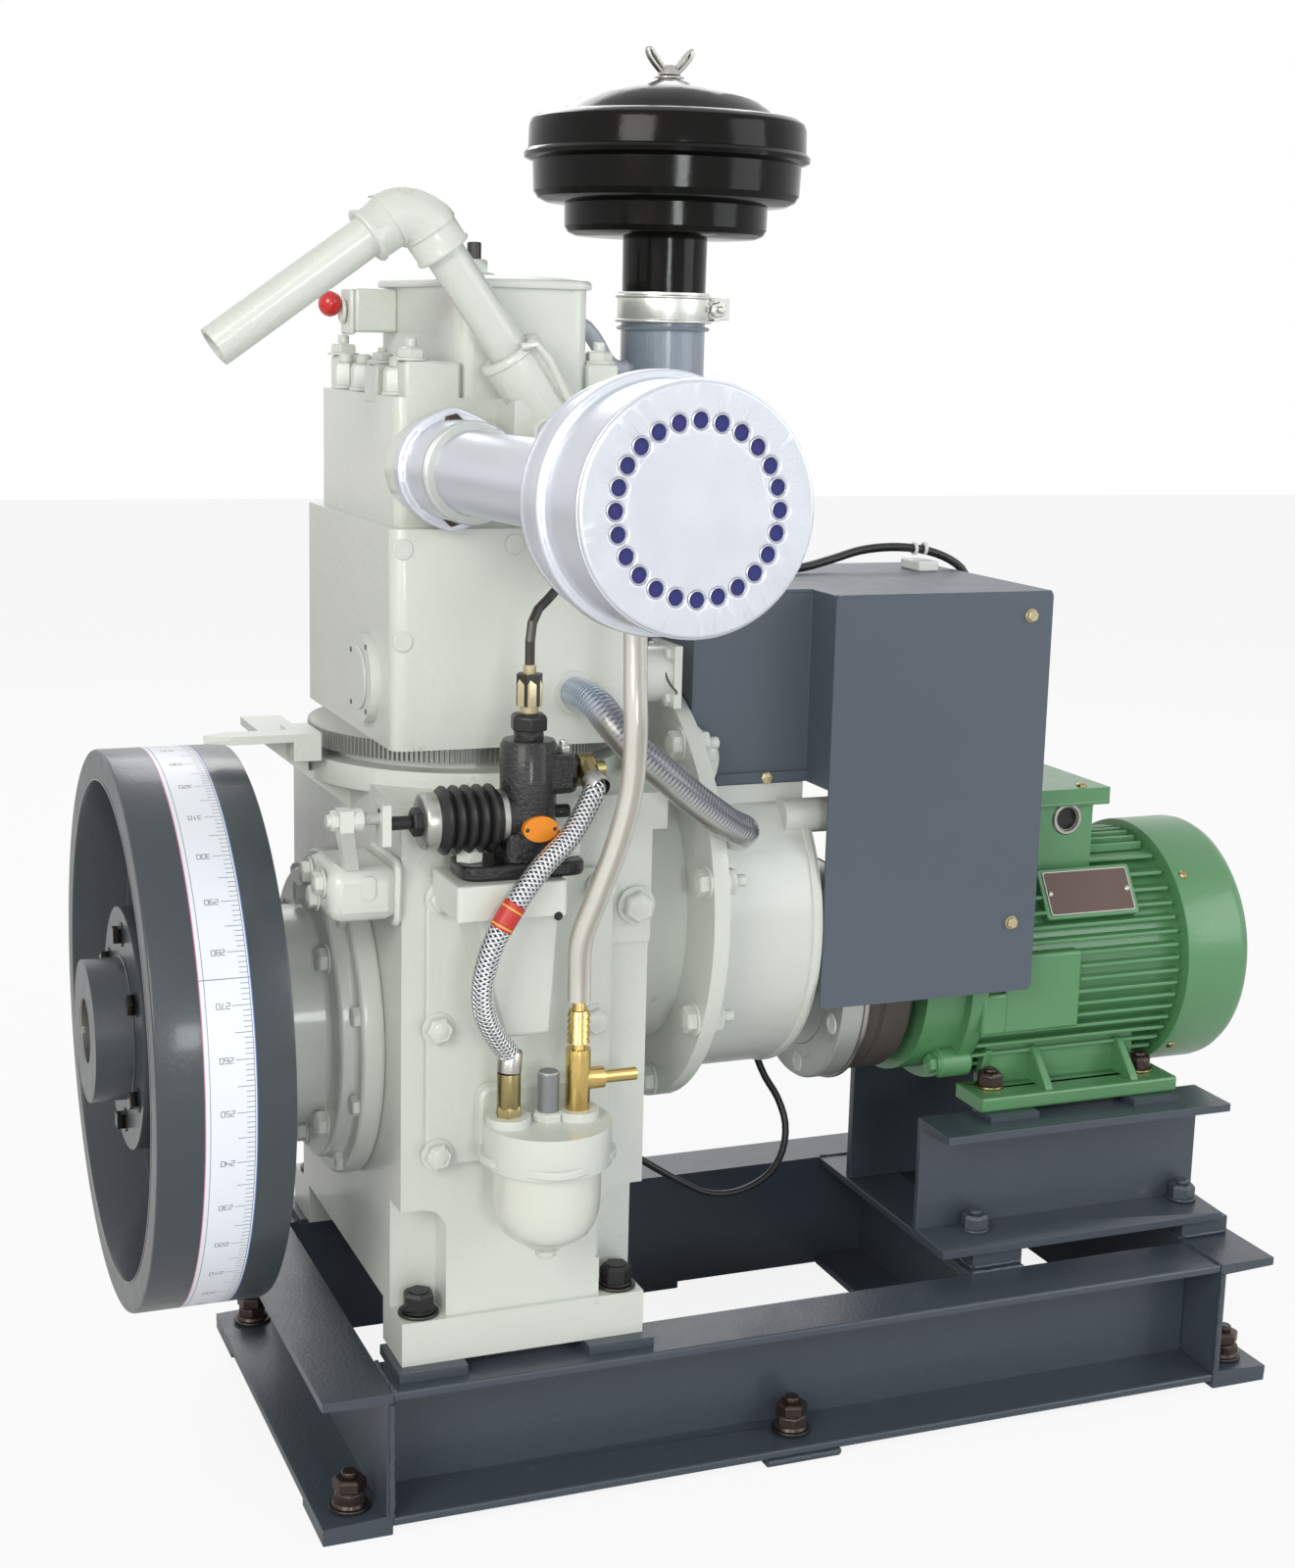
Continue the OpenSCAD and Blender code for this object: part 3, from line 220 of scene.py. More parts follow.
mat("casting", "casting_paint", "casting_enamel", (206, 211, 204), 0.34, coat=0.35, vary=0.035, grain=200,
    depth=0.00045, dirt=(168, 162, 140), dirt_at=0.66)
mat("casting_fine", "casting_paint", "casting_enamel_smooth", (209, 213, 204), 0.3, coat=0.4, vary=0.03,
    grain=170, depth=0.0003)
mat("frame", "frame_paint", "frame_enamel", (62, 71, 81), 0.36, coat=0.2, vary=0.1, grain=320, depth=0.0004,
    dirt=(112, 114, 112), dirt_at=0.68)
mat("box", "box_paint", "box_enamel", (84, 93, 103), 0.42, coat=0.05, spec=0.3, grain=700, depth=0.00006)
mat("wheel", None, "wheel_enamel", (60, 67, 72), 0.32, coat=0.2, spec=0.35, vary=0.06, grain=240)
mat("green", "motor_green", "motor_enamel", (84, 138, 92), 0.34, coat=0.3, vary=0.08, grain=300, depth=0.0004,
    dirt=(60, 92, 64), dirt_at=0.7)
mat("silver", "silver_paint", "aluminium_paint", (208, 212, 220), 0.36, metal=0.7, grain=900, depth=0.0001)
mat("black", "gloss_black", "black_enamel", (0.003, 0.0025, 0.002), 0.14, coat=0.06, spec=0.14, vary=0.3,
    grain=60)
mat("pump", "gloss_black", "pump_enamel", (0.008, 0.008, 0.009), 0.16, coat=0.25, spec=0.4, vary=0.3, grain=420,
    depth=0.0012)
mat("rubber", "black_rubber", "black_rubber", (0.012, 0.012, 0.013), 0.34, spec=0.4, vary=0.2, grain=500,
    depth=0.0001)
mat("brown", "black_rubber", "coupling_rubber", (74, 68, 62), 0.5, vary=0.1)
mat("steel", "bright_steel", "bright_steel", (178, 176, 172), 0.3, metal=1.0, vary=0.08, grain=800,
    depth=0.00008, dirt=(120, 108, 96), dirt_at=0.68)
mat("zinc", "bright_steel", "zinc_plate", (214, 215, 210), 0.3, metal=0.85, vary=0.08, grain=500, depth=0.00008)
mat("dark_steel", "bright_steel", "dark_steel", (72, 70, 68), 0.38, metal=0.9, vary=0.12, grain=600,
    depth=0.0001)
mat("brass", "bright_steel", "brass", (206, 178, 112), 0.22, metal=1.0, vary=0.08, depth=0.00008)
mat("nickel", "bright_steel", "nickel_plate", (190, 178, 144), 0.28, metal=0.6, vary=0.08, depth=0.00008)
mat("stud", "bright_steel", "grey_stud", (132, 138, 140), 0.4, metal=0.5, vary=0.08, depth=0.0001)
mat("olive", "bright_steel", "yellow_zinc", (150, 138, 96), 0.3, metal=1.0, vary=0.1, depth=0.00008)
mat("bolt", "bright_steel", "brown_bolt", (60, 46, 42), 0.36, metal=0.55, coat=0.2, vary=0.25, grain=350,
    depth=0.0003, dirt=(128, 92, 70), dirt_at=0.6)
mat("turned", "bright_steel", "turned_iron", (186, 190, 186), 0.4, metal=0.55, vary=0.06, grain=500,
    depth=0.0001, dirt=(120, 112, 98), dirt_at=0.64)
mat("gear", "bright_steel", "gear_steel", (178, 178, 174), 0.34, metal=0.8, vary=0.1, grain=500, depth=0.0001)
mat("red", "red_knob", "red_plastic", (196, 26, 24), 0.22, coat=0.4, **SMOOTH)
mat("orange", "red_knob", "orange_badge", (232, 140, 34), 0.35, metal=0.2, **SMOOTH)
mat("plate", "bright_steel", "bare_plate", (88, 70, 64), 0.4, metal=0.4, vary=0.12, grain=300, depth=0.0001)
mat("intake", "box_paint", "intake_enamel", (128, 139, 152), 0.32, coat=0.3, vary=0.06, grain=200)
mat("holes", "black_rubber", "hole_shadow", (0.012, 0.014, 0.13), 0.6, vary=0.1, grain=200, depth=0.0001)
mat("tape", "casting_paint", "tape_white", (226, 231, 240), 0.38, vary=0.01, grain=120, depth=0.00006)
mat("ink", "black_rubber", "tape_ink", (96, 98, 108), 0.6, grain=300, depth=0.00002)
mat("tape_red", "casting_paint", "tape_red", (196, 120, 150), 0.5, grain=300, depth=0.00002)
mat("tape_blue", "casting_paint", "tape_blue", (96, 130, 190), 0.5, grain=300, depth=0.00002)
mat("white", "grey_hose", "white_plastic", (225, 226, 224), 0.4, vary=0.03, **SMOOTH)
mat("grey_hose", "grey_hose", "grey_hose", (172, 177, 186), 0.4, grain=300, depth=0.0001)
mat("label_red", "red_knob", "label_red", (186, 48, 40), 0.45, **SMOOTH)
mat("label_gold", "fuel_brass", "label_gold", (214, 168, 70), 0.45, **SMOOTH)


def hose(name, color, rough, **kw):
    """Material laid along a tube, with its places along (u) and around (v)."""
    s = Mat(name, color, rough, uv=True, **kw)
    sep = s.new("SeparateXYZ")
    s.link(s.co, sep.inputs[0])
    return s, sep.outputs[0], sep.outputs[1]


CYCLE = 6.2832  # one turn, for the sines


def spiral(s, way, u, v, along, around):
    """Wave that winds one way (ADD) or the other (SUBTRACT)."""
    lines = s.math(way, s.math("MULTIPLY", u, along), s.math("MULTIPLY", v, around))
    return s.math("SINE", s.math("MULTIPLY", lines, CYCLE))


def braid_material():
    s, u, v = hose("steel_braid", srgb(222, 224, 228), 0.26, metal=0.9, grain=900, depth=0.00001)
    a, b = (spiral(s, way, u, v, 300.0, 8.0) for way in ("ADD", "SUBTRACT"))
    h = s.math("MAXIMUM", a, b)
    dark = s.ramp(h, 0.05, -0.5)
    s.link(s.mix(s.base, srgb(52, 56, 62) + (1,), dark), s.b.inputs["Base Color"])
    s.bump(h, 0.0006)
    return s.m


def clear_material(name, color, sheen_streak, wire=False):
    s, u, v = hose(name, color, 0.1, grain=120, depth=0.0001)
    fill(s.b, Transmission_Weight=0.25, IOR=1.4, Coat_Weight=0.7)
    # Bands along the tube, lighter and darker in turn: painted highlight lines on the glossy plastic, with the
    # streak colour between them.
    around = s.math("MULTIPLY", v, 25.13)
    wander = s.math("MULTIPLY", s.noise(6, 2), 3.0)
    lines = s.math("SINE", s.math("ADD", around, wander))
    tone = s.mix(s.base, sheen_streak + (1,), s.ramp(lines, -0.4, 0.9))
    if wire:
        a, b = (spiral(s, way, u, v, 330.0, 4.0) for way in ("ADD", "SUBTRACT"))
        turned = s.math("MULTIPLY", s.math("ADD", v, WIRE_SIDE), CYCLE)
        side = s.ramp(s.math("SINE", turned), 0.35, 0.8)
        start = s.ramp(u, 0.055, 0.03)
        tone = s.mix(tone, srgb(196, 214, 236) + (1,), start)
        wires = s.ramp(s.math("MAXIMUM", a, b), 0.3, 0.75)
        mask = s.math("MULTIPLY", wires, s.math("MAXIMUM", side, start))
        tone = s.mix(tone, srgb(44, 62, 104) + (1,), s.math("MULTIPLY", mask, 0.75))
    s.link(tone, s.b.inputs["Base Color"])
    return s.m


WIRE_SIDE = 0.0  # where around the water hose its wires show, in turns
M["braid"] = braid_material()
M["clear"] = clear_material("clear_vinyl", srgb(222, 221, 215), srgb(176, 170, 160))
M["wire_hose"] = clear_material("wire_vinyl", srgb(186, 186, 182), srgb(120, 116, 112), True)
SLOT.update(braid="braid", clear="clear_hose", wire_hose="wire_hose")


# ---- mesh code
def frame_of(axis):
    a = Vector(axis).normalized()
    u = Y.cross(a) if abs(a.dot(Y)) < 0.9 else Z.cross(a)
    u.normalize()
    return a, u, a.cross(u)


class Piece:
    """One visible object built from several solids, in millimetres."""

    def __init__(s, name, mat="casting", body="rig", bevel=0.0, smooth=32, node=None, slot=None):
        s.name, s.mat, s.slot, s.body = name, mat, slot or SLOT[mat], body
        s.bevel, s.smooth, s.node = bevel, smooth, node
        s.v, s.f, s.uv = [], [], []

    def add(s, vs, fs):
        o = len(s.v)
        s.v += [Vector(p) for p in vs]
        s.f += [tuple(i + o for i in f) for f in fs]
        return s

    def lathe(s, p, axis, prof, n=32, turn=0.0):
        a, u, w = frame_of(axis)
        p = Vector(p)
        vs, rings = [], []
        for h, r in prof:
            if r < 1e-6:
                rings.append([len(vs)])
                vs.append(p + a * h)
            else:
                rings.append(list(range(len(vs), len(vs) + n)))
                vs += [p + a * h + u * (r * cos(t)) + w * (r * sin(t)) for t in turns(n, turn)]
        fs = []
        for i in range(len(rings) - 1):
            q, g = rings[i], rings[i + 1]
            for k in range(n):
                j = (k + 1) % n
                if len(q) == 1 and len(g) == 1:
                    continue
                if len(q) == 1:
                    fs.append((q[0], g[k], g[j]))
                elif len(g) == 1:
                    fs.append((q[k], g[0], q[j]))
                else:
                    fs.append((q[k], g[k], g[j], q[j]))
        return s.add(vs, [f[::-1] for f in fs])

    def cyl(s, p, axis, r, h, n=24, c=0.6, turn=0.0):
        c = min(c, r * 0.4, h * 0.4)
        return s.lathe(p, axis, [(0, 0), (0, r - c), (c, r), (h - c, r), (h, r - c), (h, 0)], n, turn)

    def hexa(s, p, axis, af, h, turn=0.0):
        r = af / sqrt(3)
        return s.lathe(p, axis, [(0, 0), (0, r), (h * 0.8, r), (h, r * 0.84), (h, 0)], 6, turn)

    def bolt(s, p, axis, d, washer=True, stud=0.0, head=0.65, turn=None):
        p, a = Vector(p), Vector(axis).normalized()
        turn = rnd.random() if turn is None else turn
        h = 0.0
        if washer:
            s.cyl(p, a, d * 1.15, d * 0.18, 24, 0.3)
            h = d * 0.18
        s.hexa(p + a * h, a, d * 1.65, d * head, turn)
        s.lathe(p + a * (h + d * head - 0.2), a, [(0, d * 0.62), (d * 0.06, d * 0.5), (d * 0.1, 0)], 16)
        if stud:
            s.cyl(p + a * (h + d * head - 0.5), a, d * 0.42, stud, 12, 0.8)
        return s

    def box(s, lo, hi):
        (a, b, c), (d, e, f) = lo, hi
        vs = [(a, b, c), (d, b, c), (d, e, c), (a, e, c), (a, b, f), (d, b, f), (d, e, f), (a, e, f)]
        return s.add(vs, [(3, 2, 1, 0), (4, 5, 6, 7), (0, 1, 5, 4), (1, 2, 6, 5), (2, 3, 7, 6), (3, 0, 4, 7)])

    def prism(s, pts, h0, h1, to3):
        """Polygon pts (anticlockwise) drawn out from h0 to h1; to3(x, y, h) gives the place."""
        n = len(pts)
        vs = [to3(x, y, h) for h in (h0, h1) for x, y in pts]
        fs = [tuple(range(n))[::-1], tuple(range(n, 2 * n))]
        fs += [(i, (i + 1) % n, n + (i + 1) % n, n + i) for i in range(n)]
        return s.add(vs, fs)

    def tube(s, pts, r, n=12, caps=True, uvs=False):
        pts = [Vector(p) for p in pts]
        t0 = (pts[1] - pts[0]).normalized()
        u = frame_of(t0)[1]
        vs, fs, run, o = [], [], 0.0, len(s.v)
        for i, p in enumerate(pts):
            t = (pts[min(i + 1, len(pts) - 1)] - pts[max(i - 1, 0)]).normalized()
            u = (u - t * u.dot(t)).normalized()
            w = t.cross(u)
            rr = r[i] if isinstance(r, (list, tuple)) else r
            vs += [p + (u * cos(a) + w * sin(a)) * rr for a in turns(n)]
        for i in range(len(pts) - 1):
            step = (pts[i + 1] - pts[i]).length
            for k in range(n):
                j = (k + 1) % n
                fs.append((i * n + k, i * n + j, i * n + n + j, i * n + n + k))
                if uvs:
                    near, far, lo, hi = run * MM, (run + step) * MM, k / n, (k + 1) / n
                    s.uv.append([(near, lo), (near, hi), (far, hi), (far, lo)])
            run += step
        if caps:
            fs.append(tuple(range(n))[::-1])
            fs.append(tuple(range((len(pts) - 1) * n, len(pts) * n)))
        return s.add(vs, fs)

    def done(s):
        me = bpy.data.meshes.new(s.name)
        me.from_pydata([tuple(p * MM) for p in s.v], [], s.f)
        me.validate()
        me.polygons.foreach_set("use_smooth", [True] * len(me.polygons))
        me.set_sharp_from_angle(angle=radians(s.smooth))
        if s.uv:
            layer = me.uv_layers.new(name="UVMap")
            for poly, uv in zip(me.polygons, s.uv):
                for li, c in zip(poly.loop_indices, uv):
                    layer.data[li].uv = c
        me.materials.append(M[s.mat])
        obj = link(bpy.data.objects.new(s.name, me))
        if s.bevel:
            soften(obj, s.bevel, 2, weld=False)
        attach(obj, s.body)
        if s.node:
            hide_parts(s.node)
        return obj


PIECES = []


def piece(*args, **kw):
    """Piece that is built with the others at the end of the script."""
    PIECES.append(Piece(*args, **kw))
    return PIECES[-1]


def turns(n, start=0.0):
    """Angles of n equal steps round a circle."""
    return [2 * pi * k / n + start for k in range(n)]


def soften(obj, width, segments=2, weld=True, angle=30, harden=False):
    if weld:
        w = obj.modifiers.new("weld", "WELD")
        w.merge_threshold = 0.00002
    b = obj.modifiers.new("bevel", "BEVEL")
    b.width = width * MM
    b.segments = segments
    b.limit_method = "ANGLE"
    b.angle_limit = radians(angle)
    b.harden_normals = harden
    b.use_clamp_overlap = True
    if harden:
        wn = obj.modifiers.new("flat_faces", "WEIGHTED_NORMAL")
        wn.weight = 100
        wn.keep_sharp = True


def curve(pts, step=6.0):
    """Points along a smooth (uniform Catmull-Rom) line through pts, about step apart."""
    p = [Vector(q) for q in pts]
    p = [p[0] * 2 - p[1]] + p + [p[-1] * 2 - p[-2]]
    out = []
    for i in range(1, len(p) - 2):
        a, b, c, d = p[i - 1], p[i], p[i + 1], p[i + 2]
        n = max(2, int((c - b).length / step))
        for k in range(n):
            t = k / n
            out.append(0.5 * (2 * b + (c - a) * t + (2 * a - 5 * b + 4 * c - d) * t * t
                              + (3 * b - a - 3 * c + d) * t ** 3))
    out.append(p[-2])
    return out


def cord(name, mat, route, d, n=16):
    line = curve(route)
    obj = Piece(name + "_soft", mat, node=name, smooth=60).tube(line, d / 2, n, uvs=True).done()


def dress(name, mat, bevel=0.0, segments=2, angle=30, harden=False):
    obj = nodes[name]
    obj.data.materials.clear()
    obj.data.materials.append(M[mat])
    if bevel:
        soften(obj, bevel, segments, True, angle, harden)


# ---- cords
FUEL = [(-213, -206, 533), (-213, -214, 528), (-232, -222, 500), (-254, -229, 482), (-273, -232, 459),
        (-287, -232, 435), (-293, -228, 409), (-290, -221, 384), (-278, -213, 362), (-268, -208, 349),
        (-268, -208, 337)]
RETURN = [(-219, -208, 382), (-219, -208, 398), (-221, -216, 428), (-213, -226, 462), (-203, -233, 498),
          (-196, -236, 532), (-194, -236, 566), (-193, -231, 600), (-190, -221, 634), (-184, -203, 660),
          (-178, -178, 684), (-174, -156, 702), (-172, -142, 708), (-172, -128, 708)]
WATER = [(-196, -128, 578), (-196, -146, 578), (-194, -165, 575), (-188, -180, 564), (-176, -189, 549),
         (-156, -192, 532), (-134, -189, 514), (-113, -183, 499), (-97, -174, 489), (-83, -165, 482),
         (-75, -144, 474), (-74, -124, 470), (-74, -109, 470)]
BREATHER = [(-180, -16, 830), (-166, -16, 830), (-152, -14, 825), (-141, -11, 813), (-134, -8, 803),
            (-126, -8, 797), (-117, -8, 797)]
SENSOR = [(2, 40, 274), (14, 40, 271), (25, 40, 258), (30, 39, 240), (36, 35, 224), (46, 30, 206),
          (50, 22, 186), (45, 15, 166), (32, 10, 150), (14, 8, 141), (-6, 6, 138), (-28, 4, 142),
          (-50, 4, 154), (-72, 6, 168), (-96, 8, 184), (-122, 10, 198), (-148, 12, 204)]
CABLE = [(-158, -62, 736), (-140, -62, 736), (-122, -60, 718), (-104, -54, 690), (-86, -42, 666),
         (-64, -28, 651), (-38, -14, 645), (-10, -2, 645), (18, 8, 645), (46, 18, 646), (74, 26, 651),
         (102, 32, 657), (130, 34, 659), (156, 34, 657), (178, 34, 651), (195, 34, 641), (204, 34, 626),
         (204, 34, 611), (196, 34, 602), (185, 34, 602)]
cord("fuel_hose", "braid", FUEL, 15, 20)
cord("return_hose", "clear", RETURN, 16, 20)
cord("water_hose", "wire_hose", WATER, 23, 24)
cord("breather_hose", "grey_hose", BREATHER, 12)
cord("sensor_wire", "rubber", SENSOR, 6, 10)
cord("box_cable", "rubber", CABLE, 7, 10)

# ---- CAD nodes: material and rounded edge
for name in ("front_rail", "rear_rail", "mid_channel"):
    dress(name, "frame", 1.6, 2, 30, True)
for name in ("left_channel", "right_channel"):
    dress(name, "frame")
for name in ("foot_pads", "engine_packing", "motor_packing", "motor_shims", "front_stand", "rear_stand"):
    dress(name, "frame", 0.8)
for name, w in (
    ("crankcase", 4), ("side_cover", 4), ("inspection_cover", 2.5), ("cylinder_block", 3),
    ("block_cover", 1.6), ("cylinder_head", 7), ("rocker_box", 3), ("rocker_lid", 2.2),
    ("decompression_housing", 2), ("pump_bracket", 3), ("governor_housing", 2), ("timing_pointer", 0.8),
    ("bell_housing", 4), ("filter_head", 2), ("governor_link", 1.2), ("water_outlet", 1.4),
):
    dress(name, "casting", w, 3)
for row in (
    ("leak_pipe", "casting_fine"), ("gear_ring", "gear", 0.5), ("exhaust_pipe", "silver", 2),
    ("intake_pipe", "intake", 1), ("wing_nut", "steel", 0.8), ("hose_clamp", "zinc", 0.5),
    ("injection_pump", "pump", 2.5, 3), ("pump_bellows", "rubber", 1), ("injector_pipe", "dark_steel"),
    ("filter_bowl", "casting_fine", 3, 3), ("fuel_tee", "brass", 0.8), ("fuel_banjo", "olive", 0.8),
    ("control_box", "box", 0.8), ("front_panel", "box", 0.5), ("flywheel", "wheel", 2),
    ("flywheel_hub", "wheel", 1.5), ("crankshaft", "steel"), ("coupling_disc", "turned", 1.5),
    ("coupling_rubber", "brown", 2), ("motor_body", "green", 2), ("motor_feet", "green", 2),
    ("fan_cowl", "green", 5, 3), ("terminal_box", "green", 2.5, 3), ("decompression_lever", "red", 1),
    ("silencer_drum", "silver", 8, 4), ("air_cleaner", "black", 2),
):
    dress(*row)

# ---- small builders
SZ = 326.0  # height of the crankshaft
CX = -86  # axis of the air cleaner
PX, PY = -252, -192  # axis of the injection pump
FX, FY = -240, -208  # axis of the fuel filter
ROD_Z = 508  # height of the bellows and of the governor's rod
RIM = 200.0  # radius of the flywheel
CORNERS = (45, 135, 225, 315)


def polar(r, deg, x):
    """Point at radius r about the crankshaft, deg from +Y towards +Z."""
    t = radians(deg)
    return (x, r * cos(t), SZ + r * sin(t))


def round_rect(x0, x1, y0, y1, r, n=5):
    pts = []
    for cx, cy, a0 in ((x1 - r, y0 + r, -90), (x1 - r, y1 - r, 0), (x0 + r, y1 - r, 90), (x0 + r, y0 + r, 180)):
        for k in range(n + 1):
            a = radians(a0 + 90 * k / n)
            pts.append((cx + r * cos(a), cy + r * sin(a)))
    return pts


def rect(x0, x1, y0, y1):
    return [(x0, y0), (x1, y0), (x1, y1), (x0, y1)]


def smooth_poly(pts, r, n=4):
    """Polygon with each corner rounded by about r."""
    out = []
    for i, p in enumerate(pts):
        a, b, c = Vector(pts[i - 1]), Vector(p), Vector(pts[(i + 1) % len(pts)])
        d = min(r, (a - b).length * 0.45, (c - b).length * 0.45)
        u, w = b + (a - b).normalized() * d, b + (c - b).normalized() * d
        for k in range(n + 1):
            t = k / n
            out.append(tuple(u * (1 - t) ** 2 + b * 2 * t * (1 - t) + w * t * t))
    return out


def xz(y0):
    """For prism: a face at y0 that is drawn out towards the front."""
    return lambda x, z, h: (x, y0 - h, z)


def flat(x, y, h):
    return x, y, h


def bead(p, a, b, r=2.2, n=7):
    """Lumpy weld bead from a to b."""
    a, b = Vector(a), Vector(b)
    k = max(4, int((b - a).length / 3.2))
    pts, rad = [], []
    for i in range(k + 1):
        t = i / k
        pts.append(a.lerp(b, t) + Vector((rnd.uniform(-0.4, 0.4), rnd.uniform(-0.4, 0.4),
            rnd.uniform(-0.3, 0.3))))
        rad.append(r * (0.82 + 0.3 * rnd.random()))
    return p.tube(pts, rad, n)


# ---- flywheel: scale tape, recess bolts with painted shade round them, bore
LOOP = (0, 0), (1, 0), (1, 2), (0, 2)
DIGITS = {  # each digit is one or two lines through points
    "0": [LOOP + ((0, 0),)],
    "1": [((0.6, 0), (0.6, 2)), ((0.2, 1.6), (0.6, 2))],
    "2": [((0, 2), (1, 2), (1, 1), (0, 1), (0, 0), (1, 0))],
    "3": [((0, 2), (1, 2), (1, 0), (0, 0)), ((0.2, 1), (1, 1))],
    "4": [((0, 2), (0, 1), (1, 1)), ((1, 2), (1, 0))],
    "5": [((1, 2), (0, 2), (0, 1), (1, 1), (1, 0), (0, 0))],
    "6": [((1, 2), (0, 2), (0, 0), (1, 0), (1, 1), (0, 1))],
    "7": [((0, 2), (1, 2), (0.4, 0))],
    "8": [LOOP + ((0, 0),), ((0, 1), (1, 1))],
    "9": [LOOP + ((0, 1), (1, 1))],
}


def rim(x, deg, r=RIM + 0.09):
    """Point on the rim; deg from the front (-Y) upwards."""
    t = radians(deg)
    return (x, -r * cos(t), SZ + r * sin(t))


def band(p, x0, x1, r, n=240):
    """Strip right round the rim."""
    vs = []
    for k in range(n + 1):
        vs += [rim(x0, 360.0 * k / n, r), rim(x1, 360.0 * k / n, r)]
    return p.add(vs, [(2 * k + 3, 2 * k + 2, 2 * k, 2 * k + 1) for k in range(n)])


def patch(p, x0, x1, d, w, r=RIM + 0.09):
    """Mark of width w across the rim."""
    h = degrees(w / 2 / RIM)
    return p.add([rim(x0, d - h, r), rim(x1, d - h, r), rim(x1, d + h, r), rim(x0, d + h, r)], [(0, 1, 2, 3)])


AT_FRONT = 250.2  # reading of the scale at the front of the rim
DIGIT_W, DIGIT_H, DIGIT_GAP = 2.3, 3.6, 0.9
TAPE_L, TAPE_R, SCALE_X = -469.4, -435.1, -437
band(piece("scale_tape", "tape", "rotor"), TAPE_L, TAPE_R, RIM + 0.04)
ink = piece("scale_marks", "ink", "rotor")
for x in (-466.0, SCALE_X):
    band(ink, x, x + 0.4, RIM + 0.08)
for n in range(1, 361):
    mark = 11.5 if n % 10 == 0 else 11.0 if n % 5 == 0 else 5.2
    patch(ink, SCALE_X - mark, SCALE_X, n - AT_FRONT, 0.42)
    if n % 10 == 0:
        x = -450.2
        for ch in str(n):
            ends = [pair for way in DIGITS[ch] for pair in zip(way, way[1:])]
            for a, b in ends:
                a, b = (Vector((x - px * DIGIT_W, (py - 1) * DIGIT_H / 2)) for px, py in (a, b))
                side = (b - a).normalized().yx * 0.24
                side.y = -side.y
                q = [a - side, b - side, b + side, a + side]
                ink.add([rim(c.x, n - AT_FRONT - degrees(c.y / RIM)) for c in q], [(0, 1, 2, 3)])
            x -= DIGIT_W + DIGIT_GAP
patch(ink, -469.2, -435.3, 24.8, 0.5)
band(piece("scale_edge_red", "tape_red", "rotor"), TAPE_L, -468.7, RIM + 0.08)
band(piece("scale_edge_blue", "tape_blue", "rotor"), -435.8, TAPE_R, RIM + 0.08)

hub = piece("hub_bolts", "black", "rotor", bevel=0.5)
# Black discs round the square heads: painted shade of the recesses they sit in.
pocket_shade = piece("hub_bolt_pocket_shade", "rubber", "rotor")
for k in range(6):
    c = Vector(polar(69.0, 90 + 60 * k, -489))
    pocket_shade.cyl(c - X * 0.2, -X, 9.0, 0.5, 20, 0.1)
    hub.lathe(c, -X, [(0, 0), (0, 7.4), (5.8, 7.4), (6.6, 6.8), (6.6, 0)], 4, radians(45 + 60 * k))
bore = piece("hub_bore_sleeve", "steel", "rotor")
bore.lathe((-516.0, 0, SZ), X, [(0.3, 26.2), (0.02, 25.8), (0.02, 24.3), (0.8, 23.7), (21, 23.7)], 64)
lip = piece("wheel_turned_edges", "steel", "rotor")
for r_, x_ in ((178.4, -500.15), (51.2, -489.6)):
    lip.lathe((x_, 0, SZ), X, [(0.0, r_ + 0.5), (-0.25, r_ + 0.1), (0.0, r_ - 0.3)], 160)

# ---- engine castings: bolts and covers
p = piece("side_cover_bolts", bevel=0.5)
for a in (140, 223.6, 40, -43.6, 90, 270):
    p.bolt(polar(91, a, -357), -X, 9.5, turn=0.3 + a)
for a in (128, 166, 200, 238, 52, 14, -20, -58):
    p.bolt(polar(112.5, a, -345), -X, 8, turn=a * 0.1, washer=False)

p = piece("inspection_cover_plate", bevel=1.6, node="inspection_cover", smooth=40)
p.prism(round_rect(-312, -178, 258, 462, 14), 0, 6, xz(-157))
p = piece("inspection_cover_bolts", bevel=0.5)
for x, z in ((-302, 448), (-304, 357), (-304, 267), (-191, 353), (-188, 448), (-188, 267), (-250, 267)):
    p.bolt((x, -163, z), -Y, 10, turn=0.2 + z)
p = piece("case_bolt", bevel=0.6)
p.cyl((-160, -157, 432), -Y, 13, 1.6, 24)
p.bolt((-160, -158.5, 432), -Y, 12, turn=0.4)

p = piece("engine_foot_bolts", "rubber", bevel=0.6)
pad = piece("engine_foot_washers", "dark_steel", bevel=0.4)
for x in (-312, -164):
    for y in (-147, 147):
        pad.cyl((x, y, 145), Z, 14.5, 2.6, 28, 0.5)
        p.cyl((x, y, 147.4), Z, 12.2, 2.2, 28, 0.8)
        p.hexa((x, y, 149.4), Z, 20, 12.4, 0.3 + x)
        p.cyl((x, y, 161.6), Z, 7.4, 0.9, 20, 0.5)

# bell housing flange: bolts, nuts and the parting line
p = piece("bell_flange_bolts", bevel=0.6)
for k in range(9):
    a = radians(128 + 40 * k)
    y, z = 154.5 * cos(a), 410 + 154.5 * sin(a)
    if z > 480 and abs(y) < 70:
        continue
    p.bolt((-103, y, z), -X, 11, turn=0.2 + k)
    p.bolt((-91, y, z), X, 11, stud=9, turn=0.5 + k)
p = piece("bell_bands", bevel=1.0, smooth=40)
p.lathe((-91, 0, 388), X, [(0, 120), (0, 131.5), (2.5, 130.0), (8, 127.8), (9, 120)], 96)
p.lathe((-6, 0, 388), X, [(0, 120), (0, 128.4), (5.5, 128.4), (6.5, 127.4), (6.5, 120)], 96)
